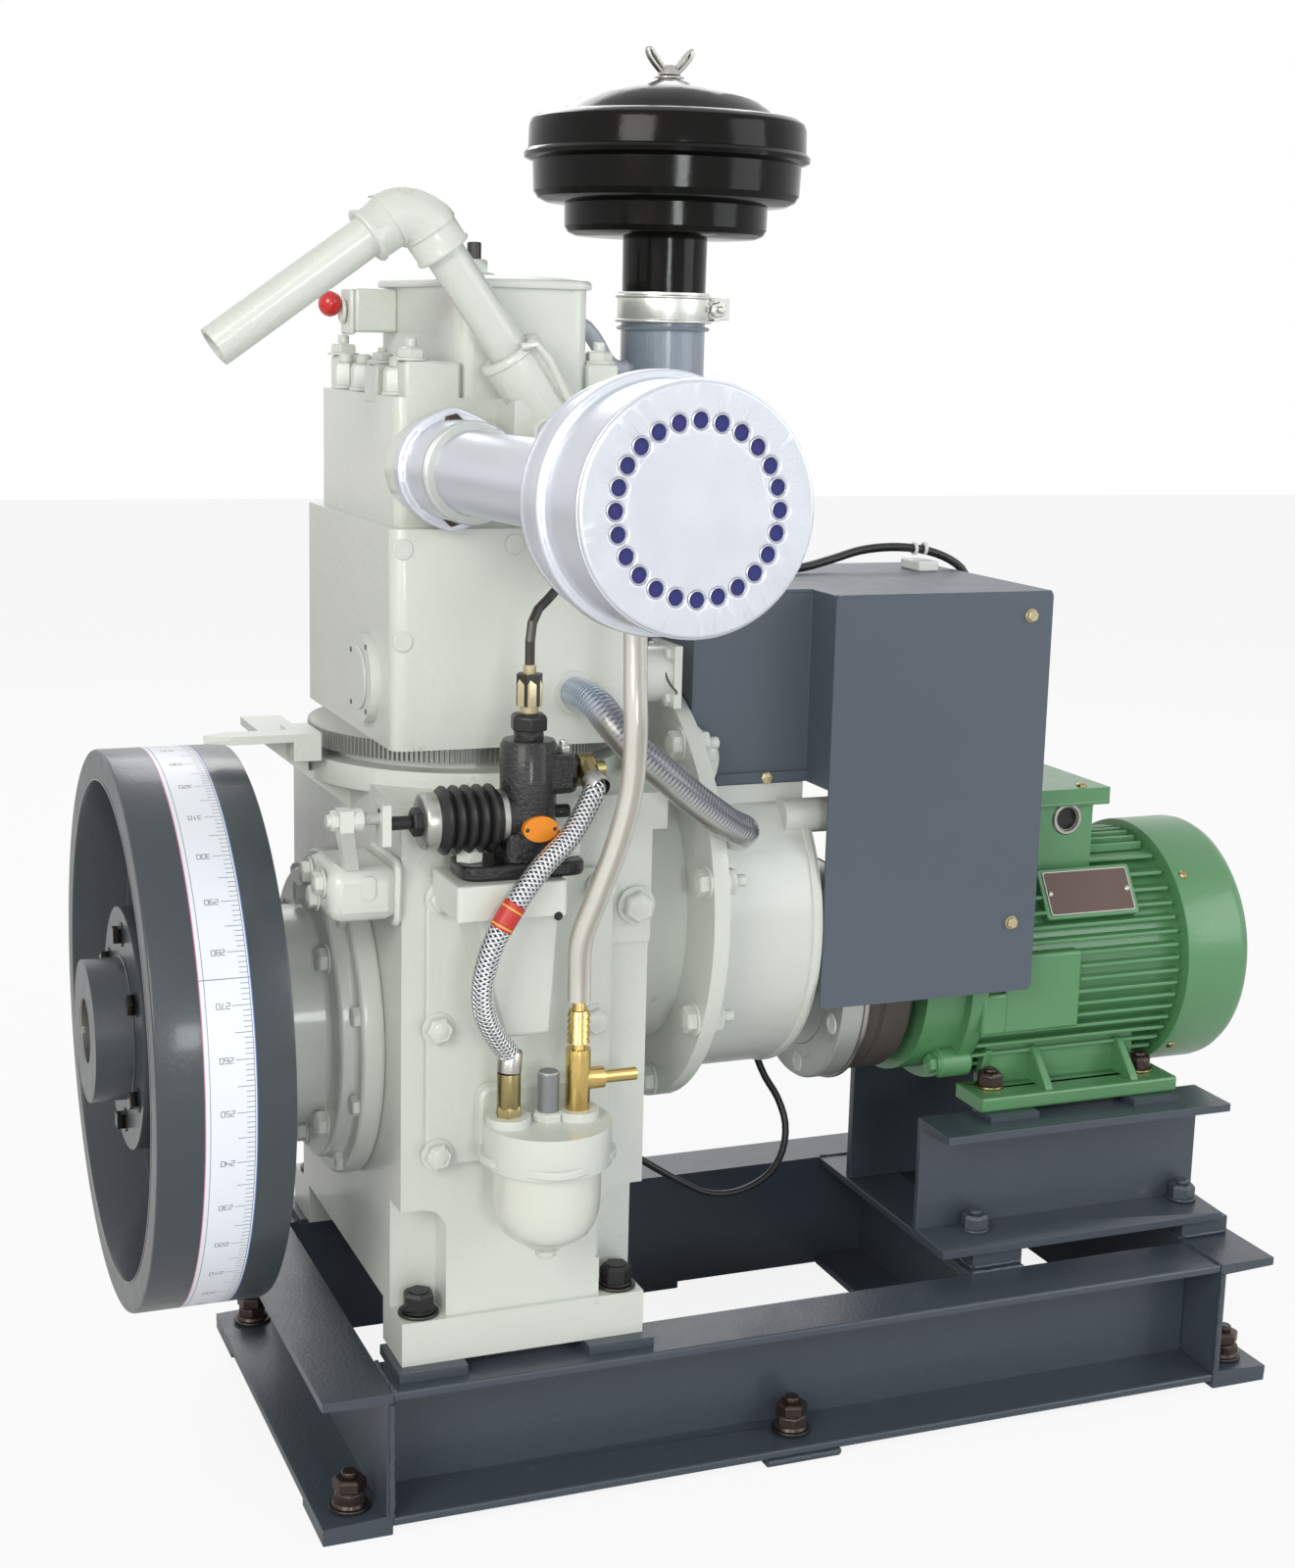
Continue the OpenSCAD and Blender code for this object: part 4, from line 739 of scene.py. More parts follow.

# block front: painted-over plugs, painted shade for the block cover holes
p = piece("block_plugs", bevel=0.5)
for x, z in ((-318, 678), (-318, 616), (-240, 680.6)):
    p.cyl((x, -121.5, z), -Y, 7, 1.6, 22, 0.5)
p.cyl((-332, -60, 583), -X, 22, 1.6, 36, 0.7)
# Black discs on the block cover: painted shade of its four holes.
p = piece("block_cover_hole_shade", "rubber")
for y, z in ((-39, 600), (-39, 563), (-79, 562), (-79, 607)):
    p.cyl((-331.9, y, z), -X, 2.0, 0.4, 14, 0.1)
p = piece("side_flange_nuts", bevel=0.5)
for y, z in ((-90, 597), (-60, 597), (-90, 565)):
    p.bolt((-110, y, z), -X, 6, turn=0.3)
p = piece("side_flange_wire", "dark_steel")
p.tube(curve([(-111, -86, 596), (-116, -92, 590), (-114, -97, 578), (-108, -98, 570), (-111, -92, 566)], 2),
    0.7, 8)

# head: corner bosses, studs and nuts
p = piece("head_bosses", bevel=2.5, smooth=40)
for x0, x1 in ((-311, -272), (-182, -159)):
    for y0, y1 in ((-101.5, -76), (76, 101.5)):
        p.box((x0, y0, 770), (x1, y1, 801))
p.box((-318.5, -52, 770), (-300, -22, 797))
p = piece("head_nuts", bevel=0.6)
for x, y, z, t in ((-304, -90, 801, 0.2), (-169, -88, 801, 0.5), (-304, 90, 801, 0.1), (-169, 88, 801, 0.4)):
    p.bolt((x, y, z), Z, 10, stud=7, turn=t)
p.cyl((-309, -37, 797), Z, 11, 3, 24, 1)
p.bolt((-309, -37, 800), Z, 8, stud=4, turn=0.1, washer=False)
for y in (-74, 12, 62):  # nuts of the side studs
    p.cyl((-309, y, 777), Z, 10.5, 3, 24, 0.8)
    p.hexa((-309, y, 780), Z, 17, 16, 0.5)
    p.cyl((-309, y, 795), Z, 5.4, 8, 14, 1.5)
p = piece("exhaust_stud_nuts", "bolt", bevel=0.6, slot="black_rubber")
for dz in (30.5, -30.5):
    p.hexa((-288, -134.2, 731 + dz * 0.98), (0, -1, 0.016), 13, 6, 0.3)
    p.cyl((-288, -140, 731 + dz * 0.98), (0, -1, 0.016), 3.8, 4, 16, 0.8)
p = piece("socket_plug_ring", bevel=0.5)
p.cyl((-228, -152, 757), -Y, 6, 1.4, 20)
p.lathe((-228, -152, 757), -Y, [(0, 10.2), (1.2, 9.6), (1.2, 7.6), (0, 7.2)], 28)

# rocker lid: rolled lip, domed top, cap nut and stud
p = piece("rocker_lid_pressing", node="rocker_lid", smooth=50)
rings = []
for inset, z in ((3.6, 850.0), (0.6, 850.6), (0.0, 852.2), (0.8, 855.0), (2.6, 856.2), (5.0, 856.0), (9, 856.6),
        (20, 858.0), (34, 858.9), (44, 859.2)):
    c = round_rect(-278 + inset, -176 - inset, -104 + inset, 104 - inset, max(2.0, 16 - inset), 6)
    rings.append([(x, y, z) for x, y in c])
vs = [q for ring in rings for q in ring]
n = len(rings[0])
fs = [(i * n + k, i * n + (k + 1) % n, (i + 1) * n + (k + 1) % n, (i + 1) * n + k)
    for i in range(len(rings) - 1) for k in range(n)]
fs.append(tuple((len(rings) - 1) * n + k for k in range(n)))
fs.append(tuple(range(n))[::-1])
p.add(vs, fs)
p.cyl((-232, 0, 858), Z, 15, 4, 32, 1.5)
p.hexa((-232, 0, 862), Z, 19, 9, 0.2)
piece("rocker_lid_stud", "dark_steel", bevel=0.4).cyl((-232, 0, 870), Z, 5, 13, 20, 0.8)

# decompression housing: square block with a plate
p = piece("decompression_block", bevel=2.4, node="decompression_housing", smooth=40)
p.box((-305, 50.5, 818), (-273.5, 81.5, 849.3))
p.box((-309, 51.5, 816), (-304.5, 80, 849))
p = piece("decompression_knob", "red", "lever", node="decompression_lever", smooth=60)
p.lathe((-311.6, 66, 838), -X, [(0.0, 0), (0.8, 4.2), (2.6, 7.0), (5.2, 8.8), (8.8, 9.7), (12.2, 8.8),
    (15, 6.4), (16.6, 3.4), (17.0, 0)], 40)
p = piece("decompression_spindle", body="lever", bevel=0.6)
p.cyl((-309.6, 66, 833), -X, 9, 3, 28, 0.8)
p.cyl((-311.5, 66, 836), -X, 3.6, 5, 20, 0.6)

# water outlet: fat elbow with thin lips, screwed pipe end
tilt = radians(36)  # of the free pipe, below level
corner = Vector((-314, -126, 901))
for name, way in (("free", Vector((-cos(tilt), 0, -sin(tilt)))), ("head", Vector((sin(tilt), 0, -cos(tilt))))):
    p = piece("outlet_lip_" + name, smooth=50)
    p.lathe(corner + way * 16, way, [(0, 14), (0, 18.4), (3, 18.4), (17.2, 18.1), (18.4, 19.0), (20.4, 19.0),
        (21.2, 18.2), (21.2, 12)], 48)
    if name == "free":
        prof = [(0, 13.1)]
        for k in range(11):
            prof += [(0.8 + 1.9 * k, 13.6 - 0.05 * k), (1.75 + 1.9 * k, 12.9 - 0.05 * k)]
        prof += [(22.2, 12.6), (22.6, 11.6), (22.6, 10.5), (12, 10.5)]
        p.lathe(corner + way * 136.5, way, prof, 40)
p = piece("outlet_socket_rim", smooth=50)
w = Vector((sin(tilt), 0, -cos(tilt)))
p.lathe(corner + w * 113.5, w, [(1.6, 13), (0, 15), (0, 20.4), (1.2, 22.2), (4.5, 22.6), (6, 21)], 44)

# ---- air cleaner
p = piece("cleaner_shell", "black", node="air_cleaner", smooth=28)
p.lathe((CX, 0, 0), Z, [(840, 0), (840, 29), (840.8, 30.6), (890, 31), (890.5, 52), (891.2, 66), (893.5, 71.5),
    (897.5, 74), (913.6, 74.3), (914.6, 88), (917.5, 94), (922, 97), (943, 97.8), (944.2, 101), (945.6, 103.9),
    (948.6, 104.2), (950.6, 102.6), (951.6, 101.2), (968, 100.7), (972, 99.2), (975, 95), (976.2, 89),
    (977.2, 79), (981, 74), (988, 64), (995, 47), (1000, 28), (1002.4, 12), (1002.8, 0)], 160)
piece("cleaner_washer", "steel", bevel=0.3).cyl((CX, 0, 1002.4), Z, 11, 1.8, 32, 0.4)
p = piece("clamp_screw", "zinc", bevel=0.3)
p.box((-51, -14, 832), (-46, 1, 849))
p.bolt((-48.5, -10, 840.5), -Y, 6.5, turn=0.3, stud=8)
p.cyl((-48.5, 1, 840.5), Y, 4.5, 5, 16)
p = piece("clamp_rims", "zinc", smooth=50)
for z in (831.2, 848.8):
    p.lathe((CX, 0, z), Z, [(-1.2, 33.4), (-1.2, 34.8), (-0.5, 35.6), (0.5, 35.6), (1.2, 34.8),
        (1.2, 33.4)], 64)
p = piece("intake_pipe_lip", "intake", smooth=50)
p.lathe((CX, 0, 826), Z, [(-1.6, 31), (-1.4, 33.4), (0, 34.6), (1.4, 33.4), (1.6, 31)], 56)

# ---- silencer
T, TURN = radians(0.9), radians(0.4)  # upward slope and sideways turn of the exhaust
pipe = Vector((-287, -124, 731))
out = Vector((sin(TURN) * cos(T), -cos(TURN) * cos(T), sin(T)))
p = piece("silencer_hole_rims", "silver", smooth=50)
d = piece("silencer_hole_shadows", "holes")
a, u, w = frame_of(out)
front = pipe + out * 416  # the drum's face
for t in turns(24):
    c = front + u * (44.5 * cos(t)) + w * (44.5 * sin(t))
    p.lathe(c, out, [(-1.5, 4.2), (0.0, 4.25), (0.35, 4.55), (0.0, 5.0)], 20)
    d.cyl(c - out * 3.0, out, 4.15, 1.4, 20, 0.05)
p = piece("silencer_seams", "silver", smooth=50)
for h, r_ in ((330.6, 64.0), (412.6, 64.0)):
    p.lathe(pipe + out * h, out, [(-1.6, r_ - 1), (-1.2, r_ + 0.5), (0, r_ + 1.0), (1.2, r_ + 0.5),
        (1.6, r_ - 1)], 96)
p = piece("exhaust_neck_ring", "turned", smooth=30)
p.lathe(pipe + out * 47.5, out, [(0, 30), (0, 32.6), (0.8, 33.6), (4.6, 33.6), (6.6, 31.2), (7.2, 26.8)], 96)

# ---- injection pump
p = piece("pump_barrel", "pump", node="injection_pump", smooth=40)
p.lathe((PX, PY, 0), Z, [(470, 0), (470, 17.5), (473, 18.8), (556, 19), (559.5, 17), (560, 10), (566, 9.8),
    (566, 0)], 56)
p.lathe((PX - 20, PY, ROD_Z), X, [(0, 0), (0, 15), (2, 16.8), (10, 17)], 48)
p = piece("pump_lobe", "pump", bevel=5, node="injection_pump", smooth=40)
p.box((-256, -207, 523.5), (-221.3, -177, 550))
p = piece("pump_base", "pump", bevel=2.4, node="injection_pump", smooth=40)
p.prism(smooth_poly(rect(-302, -216, -214, -170), 14, 5), 470, 480, flat)
p.prism(smooth_poly(rect(-272, -232, -209, -175), 9, 4), 478, 500, flat)
piece("pump_side_pin", "pump", bevel=0.5).cyl((-236, -192, 510), X, 4.6, 13, 22, 0.8)
piece("pump_nut", "rubber", bevel=0.8, smooth=30).hexa((PX, PY, 565.8), Z, 22.4, 11, 0.35)
p = piece("pump_union", "nickel", bevel=0.5)
p.hexa((PX, PY, 581.8), Z, 16.2, 18.5, 0.25)
p.cyl((PX, PY, 576.8), Z, 6.2, 5.4, 24, 0.3)
p.cyl((PX, PY, 600), Z, 4.3, 9, 20, 0.8)
p = piece("pump_bleed_screw", "zinc", bevel=0.3)
p.hexa((-228, PY, 550), Z, 9, 4.5, 0.2)
p.cyl((-228, PY, 554), Z, 2.6, 4, 14, 0.6)
p = piece("pump_badge", "orange", smooth=40)
ring = [(12 * cos(t), 8.6 * sin(t)) for t in turns(40)]


def on_badge(x, z, h):
    return (PX + 2 + x, PY - 20.4 - h - 0.006 * x * x, 503 + z)


p.prism(ring, -4, 0.8, on_badge)
p = piece("pump_badge_rivets", "dark_steel")
for x in (-9.4, 9.4):
    p.lathe(on_badge(x, 0, 0.7), -Y, [(0, 1.5), (0.5, 1.3), (0.9, 0.6), (1.0, 0)], 12)
p = piece("pump_flange_studs", bevel=0.5)
st = piece("pump_studs", "dark_steel", bevel=0.4)
for x in (-292, -224):
    p.hexa((x, -192, 480), Z, 17, 10, 0.25)
    st.cyl((x, -192, 489), Z, 4.2, 8, 18, 0.8)

# bellows, cap, rod, link
p = piece("bellows_ribs", "rubber", node="pump_bellows", smooth=50)
prof = [(0, 18)]
for k in range(5):
    h = 1.5 + 8.0 * k
    prof += [(h, 19.0), (h + 1.6, 21.4), (h + 3.4, 22.9), (h + 5.0, 22.6), (h + 6.6, 20.6)]
prof += [(42, 18.6), (43.6, 18.6), (43.8, 0)]
p.lathe((-316, PY, ROD_Z), X, [(0, 0)] + prof, 64)
p = piece("bellows_cap", "steel", smooth=40)
p.lathe((-326, PY, ROD_Z), X, [(0, 0), (0.0, 16.4), (0.8, 18.2), (2.2, 19.0), (9.6, 19.0), (10.4, 18.2),
    (10.6, 0)], 64)
p.lathe((-274, PY, ROD_Z), X, [(0, 17), (0, 18), (0.8, 18.8), (4.4, 18.8), (5.2, 18), (5.2, 16)], 56)
piece("bellows_nut", "rubber", bevel=0.5).hexa((-326, PY, ROD_Z), -X, 17, 6, 0.3)
piece("link_pin", "rubber", bevel=0.3).cyl((-352, PY, ROD_Z), X, 4.6, 20, 20, 0.4)
# Black disc on the clevis: painted shade of its hole.
piece("link_clevis_hole_shade", "rubber").cyl((-353, -192, 516.5), -X, 2.0, 0.3, 14, 0.05)
p = piece("link_nuts", bevel=0.4)
p.hexa((-364.6, PY, 512), -X, 13, 6, 0.3)
p.hexa((-380.5, PY, 512), -X, 12, 5, 0.1)
p = piece("link_threads", "rubber")
prof = [(0, 3.4)]
for k in range(9):
    prof += [(0.5 + 1.25 * k, 4.25), (1.1 + 1.25 * k, 3.6)]
prof += [(12, 3.4)]
p.lathe((-364.5, PY, 512), X, prof, 20)

# governor housing and pump bracket
p = piece("governor_plate", bevel=2.5, smooth=40)
p.prism(smooth_poly([(-160, 428), (-94, 428), (-90, 475), (-164, 475)], 10), 0, 5.5,
    lambda y, z, h: (-328 - h, y, z))
piece("governor_case", bevel=9, node="governor_housing", smooth=50).box((-378, -162, 434), (-330, -92, 471))
p = piece("governor_ribs", bevel=0.9, smooth=50)
p.prism(smooth_poly(rect(-357, -347, 450, 466), 5, 4), -1, 1.6, xz(-161.5))
p.prism(smooth_poly(rect(-371, -338, 441.5, 445), 2, 3), -2, 1.4, xz(-161))
p = piece("governor_bolts", bevel=0.5)
for x, y, z in ((-378, -144, 459), (-378, -108, 459), (-378, -126, 446)):
    p.bolt((x, y, z), -X, 8.5, turn=y * 0.1)
# Black disc on the pump bracket: painted shade of its hole.
piece("bracket_hole_shade", "rubber").cyl((-240, -222.02, 446), -Y, 3.0, 0.3, 18, 0.05)

# ---- fuel filter
p = piece("filter_bracket_pad", bevel=2.5, smooth=40)
p.prism(smooth_poly(rect(-278, -202, 268, 316), 10, 4), 0, 14, xz(-162.5))
p = piece("filter_cover", bevel=1.2, smooth=40)
wave = [(45 + 2.4 * cos(4 * t + 0.6), t) for t in turns(72)]
p.prism([(FX + r * cos(t), FY + r * sin(t)) for r, t in wave], 274.5, 280.5, flat)
p.lathe((FX, FY, 280), Z, [(0, 44), (8, 42), (15, 37), (19.6, 31), (20.4, 27), (21.6, 0)], 64)
p = piece("filter_bowl_shell", "casting_fine", node="filter_bowl", smooth=45)
p.lathe((FX, FY, 0), Z, [(203, 0), (203, 6), (204, 7), (208, 7.4), (209.4, 10.4), (213, 14), (216.4, 20),
    (219.6, 25.6), (223.4, 30), (229, 33.4), (236, 35.6), (243, 36.7), (250, 37), (272.6, 37), (272.6, 0)], 72)
p = piece("filter_unions", "olive", bevel=0.5)
p.hexa((-268, -208, 303), Z, 16, 12, 0.3)
p.cyl((-268, -208, 315), Z, 7.4, 22, 24, 0.8)
piece("filter_centre_nut", bevel=0.5).hexa((FX, FY, 301), Z, 18.4, 6, 0.1)
piece("filter_centre_stud", "stud", bevel=0.5).cyl((FX, FY, 306.5), Z, 7.4, 29, 28, 1.2)
p = piece("tee_barbs", "brass", smooth=30)
prof = [(0, 6)]
for k in range(5):
    prof += [(0.6 + 4.6 * k, 7.9), (4.6 + 4.6 * k, 6.7)]
p.lathe((-219, -208, 353), Z, prof + [(24, 0)], 28)

# ---- toothed ring under the block
p = piece("gear_teeth", "gear", node="gear_ring", smooth=25)
outer = []
for a in turns(196):
    for da, r_ in ((-0.0105, 110.6), (-0.0045, 112.9), (0.0045, 112.9), (0.0105, 110.6)):
        outer.append((a + da, r_))
n = len(outer)
vs = []
for z in (528.0, 541.0):
    for r_in in (False, True):
        for a, r_ in outer:
            r_ = 80 if r_in else r_
            vs.append((-238 + r_ * cos(a), r_ * sin(a), z))
fs = []
for k in range(n):
    j = (k + 1) % n
    fs += [(k, j, 2 * n + j, 2 * n + k), (n + j, n + k, 3 * n + k, 3 * n + j), (j, k, n + k, n + j),
        (2 * n + k, 2 * n + j, 3 * n + j, 3 * n + k)]
p.add(vs, fs)

# ---- motor
FIN_STEP = 10.5
MOTOR_R = 98  # over the fins
p = piece("motor_fins", "green", bevel=0.9)
for k in range(-8, 9):
    dz = FIN_STEP * k
    for side in (-1, 1):
        tip = sqrt(MOTOR_R ** 2 - dz ** 2)
        root = sqrt(max(0, 89 ** 2 - dz ** 2)) if abs(dz) < 80 else 30
        x0 = 165
        if side < 0 and -40 < dz < 26:
            x0 = 248 if dz > -6 else 212
        if dz < -64:
            tip, x0 = min(tip, 66), 168
        z = SZ + dz
        if side < 0 and -40 < dz < 26:
            p.box((165, -tip, z - 1.6), (176, -root + 2, z + 1.6))
        lo, hi = sorted((side * tip, side * (root - 2)))
        p.box((x0, lo, z - 1.6), (341, hi, z + 1.6))
for k in range(-3, 4):
    dy = FIN_STEP * k
    tip = sqrt(MOTOR_R ** 2 - dy ** 2)
    p.box((165, dy - 1.6, SZ - tip), (341, dy + 1.6, SZ - 86))
    p.box((282, dy - 1.6, SZ + 86), (341, dy + 1.6, SZ + tip))
p = piece("motor_side_pad", "green", bevel=2.2, smooth=40)
for side in (-1, 1):
    lo, hi = sorted((side * 98, side * 76))
    p.box((180, lo, 287), (248, hi, 350))
    p.box((160, lo, 287), (182, hi, 320))
LEAN = radians(32)  # of the nameplate, back from upright


def on_side(x, q, h):
    up, outward = Vector((0, sin(LEAN), cos(LEAN))), Vector((0, -cos(LEAN), sin(LEAN)))
    return Vector((265, -74.5, 391.5)) + Vector((x, 0, 0)) + up * q + outward * h


piece("nameplate_pad", "green", bevel=0.8).prism(round_rect(-43, 43, -21, 21, 3), -14, 0, on_side)
piece("motor_nameplate", "plate", bevel=0.2).prism(round_rect(-39, 39, -18, 18, 2), 0.05, 0.9, on_side)
p = piece("nameplate_rim", "steel")
edge_in, edge_out = round_rect(-38.4, 38.4, -17.4, 17.4, 1.6), round_rect(-39, 39, -18, 18, 2)
n = len(edge_in)
p.add([on_side(x, q, 1.0) for x, q in edge_in + edge_out], [(n + k, n + (k + 1) % n, (k + 1) % n, k)
    for k in range(n)])
for x in (-35.8, 35.8):
    c = on_side(x, 0, 0.9)
    p.lathe(c, on_side(0, 0, 1) - on_side(0, 0, 0), [(0, 2.6), (0.7, 2.2), (1.3, 1.2), (1.5, 0)], 14)
p = piece("end_shield_parts", "green", bevel=1.4, smooth=40)
p.lathe((116, 0, SZ), X, [(-0.0, 30), (-0.4, 62), (0.2, 70), (1.5, 74)], 96)
for a in CORNERS:
    c = Vector(polar(96, a, 136))
    p.cyl(c, X, 12, 29, 26, 2.5)
    p.bolt(c, -X, 8.5, turn=0.2)
p = piece("motor_foot_gussets", "green", bevel=1.2, smooth=40)
for s_ in (-1, 1):
    for x in (181, 223, 303):
        y0, y1 = 62, 72 if x == 181 else 103
        vs = []
        for xx in (x - 3.5, x + 3.5):
            vs += [(xx, s_ * y0, 236), (xx, s_ * y1, 236), (xx, s_ * (y1 - 3), 241), (xx, s_ * 76, 266),
                (xx, s_ * y0, 266)]
        fs = [(0, 1, 2, 3, 4), (9, 8, 7, 6, 5)] + [(k, 5 + k, 5 + (k + 1) % 5, (k + 1) % 5) for k in range(5)]
        p.add(vs, fs if s_ > 0 else [f[::-1] for f in fs])
p = piece("motor_foot_bolts", "bolt", bevel=0.5)
w_ = piece("motor_foot_washers", "olive", bevel=0.3)
for x in (180, 320):
    for y in (-80, 80):
        w_.cyl((x, y, 238), Z, 11.5, 2.2, 26, 0.4)
        p.hexa((x, y, 240.2), Z, 18.5, 10.5, 0.3 + x)
        p.cyl((x, y, 250), Z, 5.6, 3.5, 16, 1)
p = piece("fan_cowl_shell", "green", node="fan_cowl", smooth=35)
prof = [(346, 0), (346, 101.4), (346.4, 102.8), (348, 103), (396, 103), (401, 102.2), (405.5, 99.6),
    (409, 95.2), (411.4, 89), (412.6, 80), (413, 70), (413, 0)]
p.lathe((0, 0, SZ), X, prof, 128)
# Black ovals on the cowl's end: painted shade behind the grille's slots.
p = piece("fan_cowl_grille_shade", "rubber")
for ring_r in (20, 34, 48, 62):
    for t in turns(int(ring_r / 1.7)):
        c = Vector((412.8, ring_r * cos(t), SZ + ring_r * sin(t)))
        u, w = Vector((0, cos(t), sin(t))), Vector((0, -sin(t), cos(t)))
        slot = [c + X * 0.28 + u * (5 * cos(g)) + w * (3.4 * sin(g)) for g in turns(12)]
        p.add(slot, [tuple(range(12))])
p = piece("fan_cowl_screws", "olive", bevel=0.3)
for a in CORNERS:
    t = radians(a)
    r_ = Vector((0, cos(t), sin(t)))
    p.lathe(Vector((356, 0, SZ)) + r_ * 102.8, r_, [(0, 4.2), (0.8, 4.0), (2.0, 2.6), (2.4, 0)], 18)
p = piece("gland_ring", "steel", smooth=40)
p.lathe((253, -55, 448), -Y, [(-12, 9.0), (0.0, 9.2), (0.0, 9.6), (1.6, 10.4), (1.6, 12.4), (0.6, 13.4),
    (0, 13.4)], 40)
# Black disc inside the gland's bore: painted shade of the empty bore.
piece("gland_bore_shade", "rubber").cyl((253, -50, 448), -Y, 9.0, 1.2, 32, 0.1)
piece("terminal_lid_lip", "green", bevel=1.2).box((159.5, -60.5, 459), (289.5, 60.5, 462.5))
p = piece("terminal_lid_screws", "olive", bevel=0.3)
for x in (170, 268):
    for y in (-50, 50):
        p.lathe((x, y, 473), Z, [(0, 4.4), (1.2, 4.2), (2.4, 2.8), (2.7, 0)], 18)

# ---- coupling
p = piece("coupling_disc_turned", "turned", node="coupling_disc", smooth=30, slot="disc_iron")
p.lathe((41, 0, SZ), X, [(0, 0), (0, 60), (0.6, 61), (0.6, 84), (1.4, 87), (3.0, 88), (19, 88), (20, 86.6),
    (24, 86.2), (24, 0)], 128)
p = piece("coupling_ring", "steel", smooth=40)
p.lathe((60.4, 0, SZ), X, [(0, 87), (0.3, 89.2), (1.2, 89.8), (3.4, 89.8), (4.0, 88.8), (4.0, 85)], 128)
p = piece("coupling_pin_heads", "white", smooth=40, slot="bright_steel")
for k in range(6):
    p.lathe(polar(75, 20 + 60 * k, 41.5), -X, [(0.0, 8.2), (0.8, 7.8), (0.9, 5.2), (0.3, 4.6), (0.2, 0)], 26)
p = piece("coupling_rubber_body", "brown", node="coupling_rubber", smooth=40)
p.lathe((65, 0, SZ), X, [(0, 0), (0, 82), (0.8, 83.6), (2.4, 84), (12, 84), (13.4, 82.4), (15, 82.4),
    (16.4, 84), (37, 84), (40, 82.6), (42, 79), (42, 14), (91, 14), (91, 0)], 128)

# ---- control box
p = piece("box_screws", "nickel", bevel=0.3)
for q in ((166.5, -124, 622.6), (164, -124, 386)):
    p.cyl(q, -Y, 5.2, 0.9, 22, 0.2)
    p.hexa(Vector(q) - Y * 0.8, -Y, 8, 3.4, 0.3)
p.bolt((-29.7, -86.0, 502), -Y, 5, turn=0.1, washer=False)
p = piece("box_front_cover", "box", node="front_panel", smooth=40)
p.prism(smooth_poly(rect(4, 185, 331, 641), 5, 5), 0, 2, xz(-122))
p = piece("box_folds", "box", bevel=0.5)
p.box((-70, -86.4, 498), (12, -84, 506))
p.box((-90.4, -84.6, 638.6), (3.6, 86.4, 641.3))
piece("cable_tie_block", "white", bevel=1.4).box((146, 15, 640.9), (164, 47, 649))
p = piece("cable_ties", "white", bevel=0.4)
for x in (150, 159):
    p.lathe((x, 34, 657.6), X, [(0, 3.6), (0, 5.2), (2.6, 5.2), (2.6, 3.6)], 20)

# ---- fuel hose label and ferrules
line = curve(FUEL, 3.0)
at = min(range(len(line)), key=lambda i: abs(line[i].z - 450))
piece("hose_label", "label_red", smooth=60).tube(line[at - 3:at + 4], 7.75, 28, caps=False)
p = piece("hose_label_print", "label_gold", smooth=60)
for k in (-2, 2):
    p.tube([line[at + k].lerp(line[at + k + 1], 0.1), line[at + k].lerp(line[at + k + 1], 0.5)], 7.85, 28,
        caps=False)
p = piece("hose_ferrules", "steel", smooth=40)
d_ = (line[1] - line[0]).normalized()
p.lathe(line[0] - d_ * 0.1, d_, [(0, 6), (0, 7.2), (0.8, 8.1), (12, 8.1), (13, 7.4), (13.2, 6.5)], 32)
d_ = (line[-2] - line[-1]).normalized()
p.lathe(line[-1], d_, [(0, 6), (0, 7.4), (0.8, 8.3), (14, 8.3), (15, 7.6), (15.2, 6.5)], 32)

# ---- frame: welds and anchor nuts
p = piece("weld_beads", "frame", smooth=60)
for sx in (-1, 1):
    for sy in (-1, 1):
        x = sx * 340
        bead(p, (x, sy * 134.5, 14), (x, sy * 134.5, 98), 2.6)
        bead(p, (x - sx * 1, sy * 135, 106.2), (x - sx * 1, sy * 183, 106.2), 2.0)
        bead(p, (sx * 341, sy * 184.4, 14), (sx * 341, sy * 184.4, 98), 2.2)
        bead(p, (sx * 342, sy * 124.6, 6.6), (sx * 388, sy * 124.6, 6.6), 2.2)
for sy in (-1, 1):
    bead(p, (189, sy * 133, 16), (189, sy * 133, 98), 2.6)
    bead(p, (141, sy * 134, 106), (187, sy * 134, 106), 1.8)
    bead(p, (-54, sy * 184.4, 4), (6, sy * 184.4, 4), 2.2)
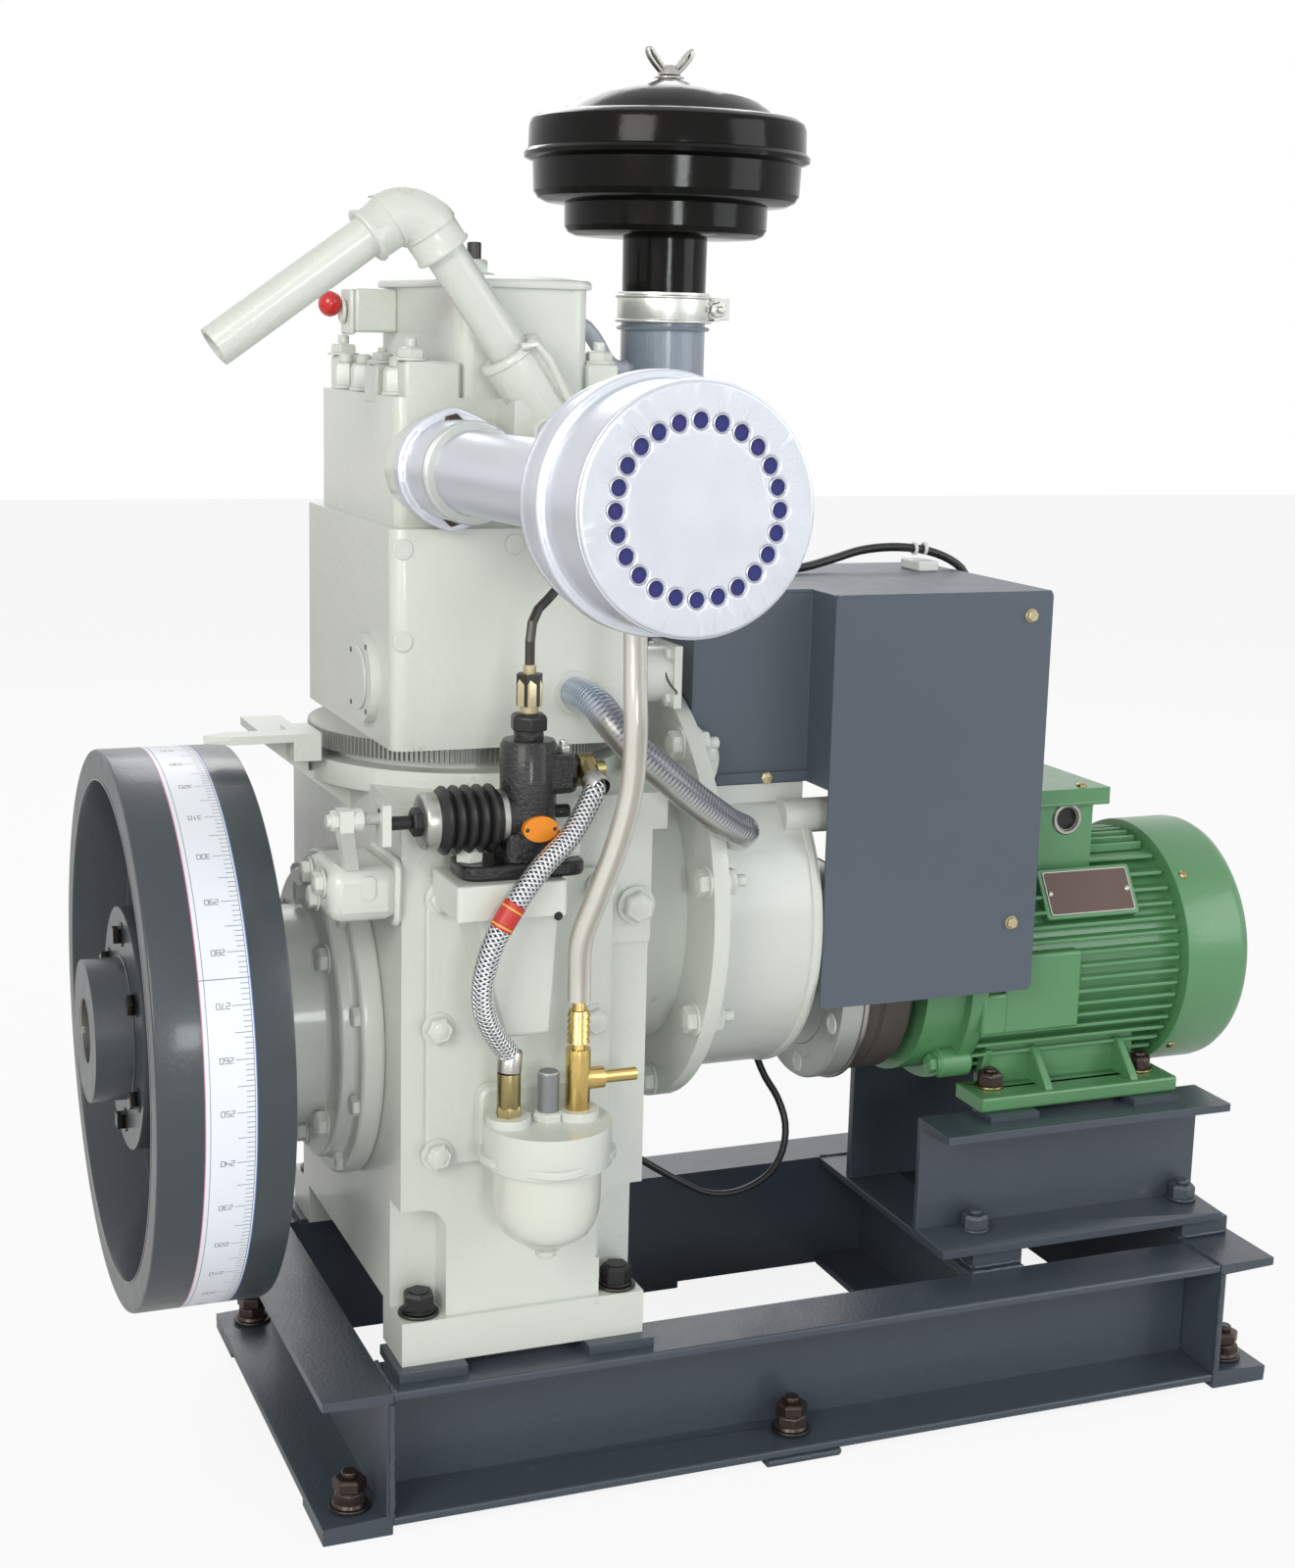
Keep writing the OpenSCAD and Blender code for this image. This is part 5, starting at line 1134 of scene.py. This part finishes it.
for x in (146, 340):
    bead(p, (x, -85.5, 107), (x, -128, 107), 2.2)
for x0, x1 in ((146, 188), (342, 383)):
    bead(p, (x0, -128.6, 108), (x1, -128.6, 108), 1.8)
p = piece("anchor_nuts", "bolt", bevel=0.5)
w_ = piece("anchor_washers", "dark_steel", bevel=0.3)
for x, y, z in [(sx * 365, sy * 160, 14.4) for sx in (-1, 1) for sy in (-1, 1)] + [(-24, sy * 159, 14.6)
        for sy in (-1, 1)]:
    w_.cyl((x, y, z), Z, 15, 2.4, 28, 0.4)
    p.lathe((x, y, z + 2.4), Z, [(0, 0), (0, 13), (3, 11.6), (3, 0)], 24)
    p.hexa((x, y, z + 4.4), Z, 21, 9, 0.3)
    p.hexa((x, y, z + 13.6), Z, 21, 9, 0.75)
    p.cyl((x, y, z + 22), Z, 6, 5, 16, 1)

# ---- lug, wing nut and bolts of the stands
p = piece("bell_lug", bevel=1.5, smooth=40)
p.prism(smooth_poly([(-90, 500), (-73, 504), (-70, 520), (-74, 534), (-90, 530)], 4, 3), 0, 12, xz(-80))
p.bolt((-80, -92, 524), -Y, 7, turn=0.2)
p = piece("wing_nut_shape", "steel", node="wing_nut", smooth=50)
p.lathe((CX, 0, 1003), Z, [(1.6, 0), (1.6, 7.5), (2.6, 8.4), (6, 7.2), (9, 5.0), (9.4, 0)], 32)
for s_ in (-1, 1):
    pts = []
    for a_, b_ in ((3, 5), (8, 11), (13, 17.5), (16, 20.5), (17.2, 19.0), (15.5, 14.5), (11, 9), (6, 4)):
        pts.append((CX + s_ * a_, 0, 1003 + b_))
    line_ = curve(pts, 1.5)
    for y_ in (-1.4, 0, 1.4):
        p.tube([q + Vector((0, y_, 0)) for q in line_], 1.5, 10)
p = piece("stand_bolts", "frame", bevel=0.6)
for x, y in ((159, -104), (357, -101)):
    p.cyl((x, y, 129.2), Z, 12, 2.2, 26, 0.4)
    p.hexa((x, y, 131.4), Z, 19, 11, 0.3)
    p.cyl((x, y, 142), Z, 5.4, 4, 16, 1)

for p in PIECES:
    p.done()
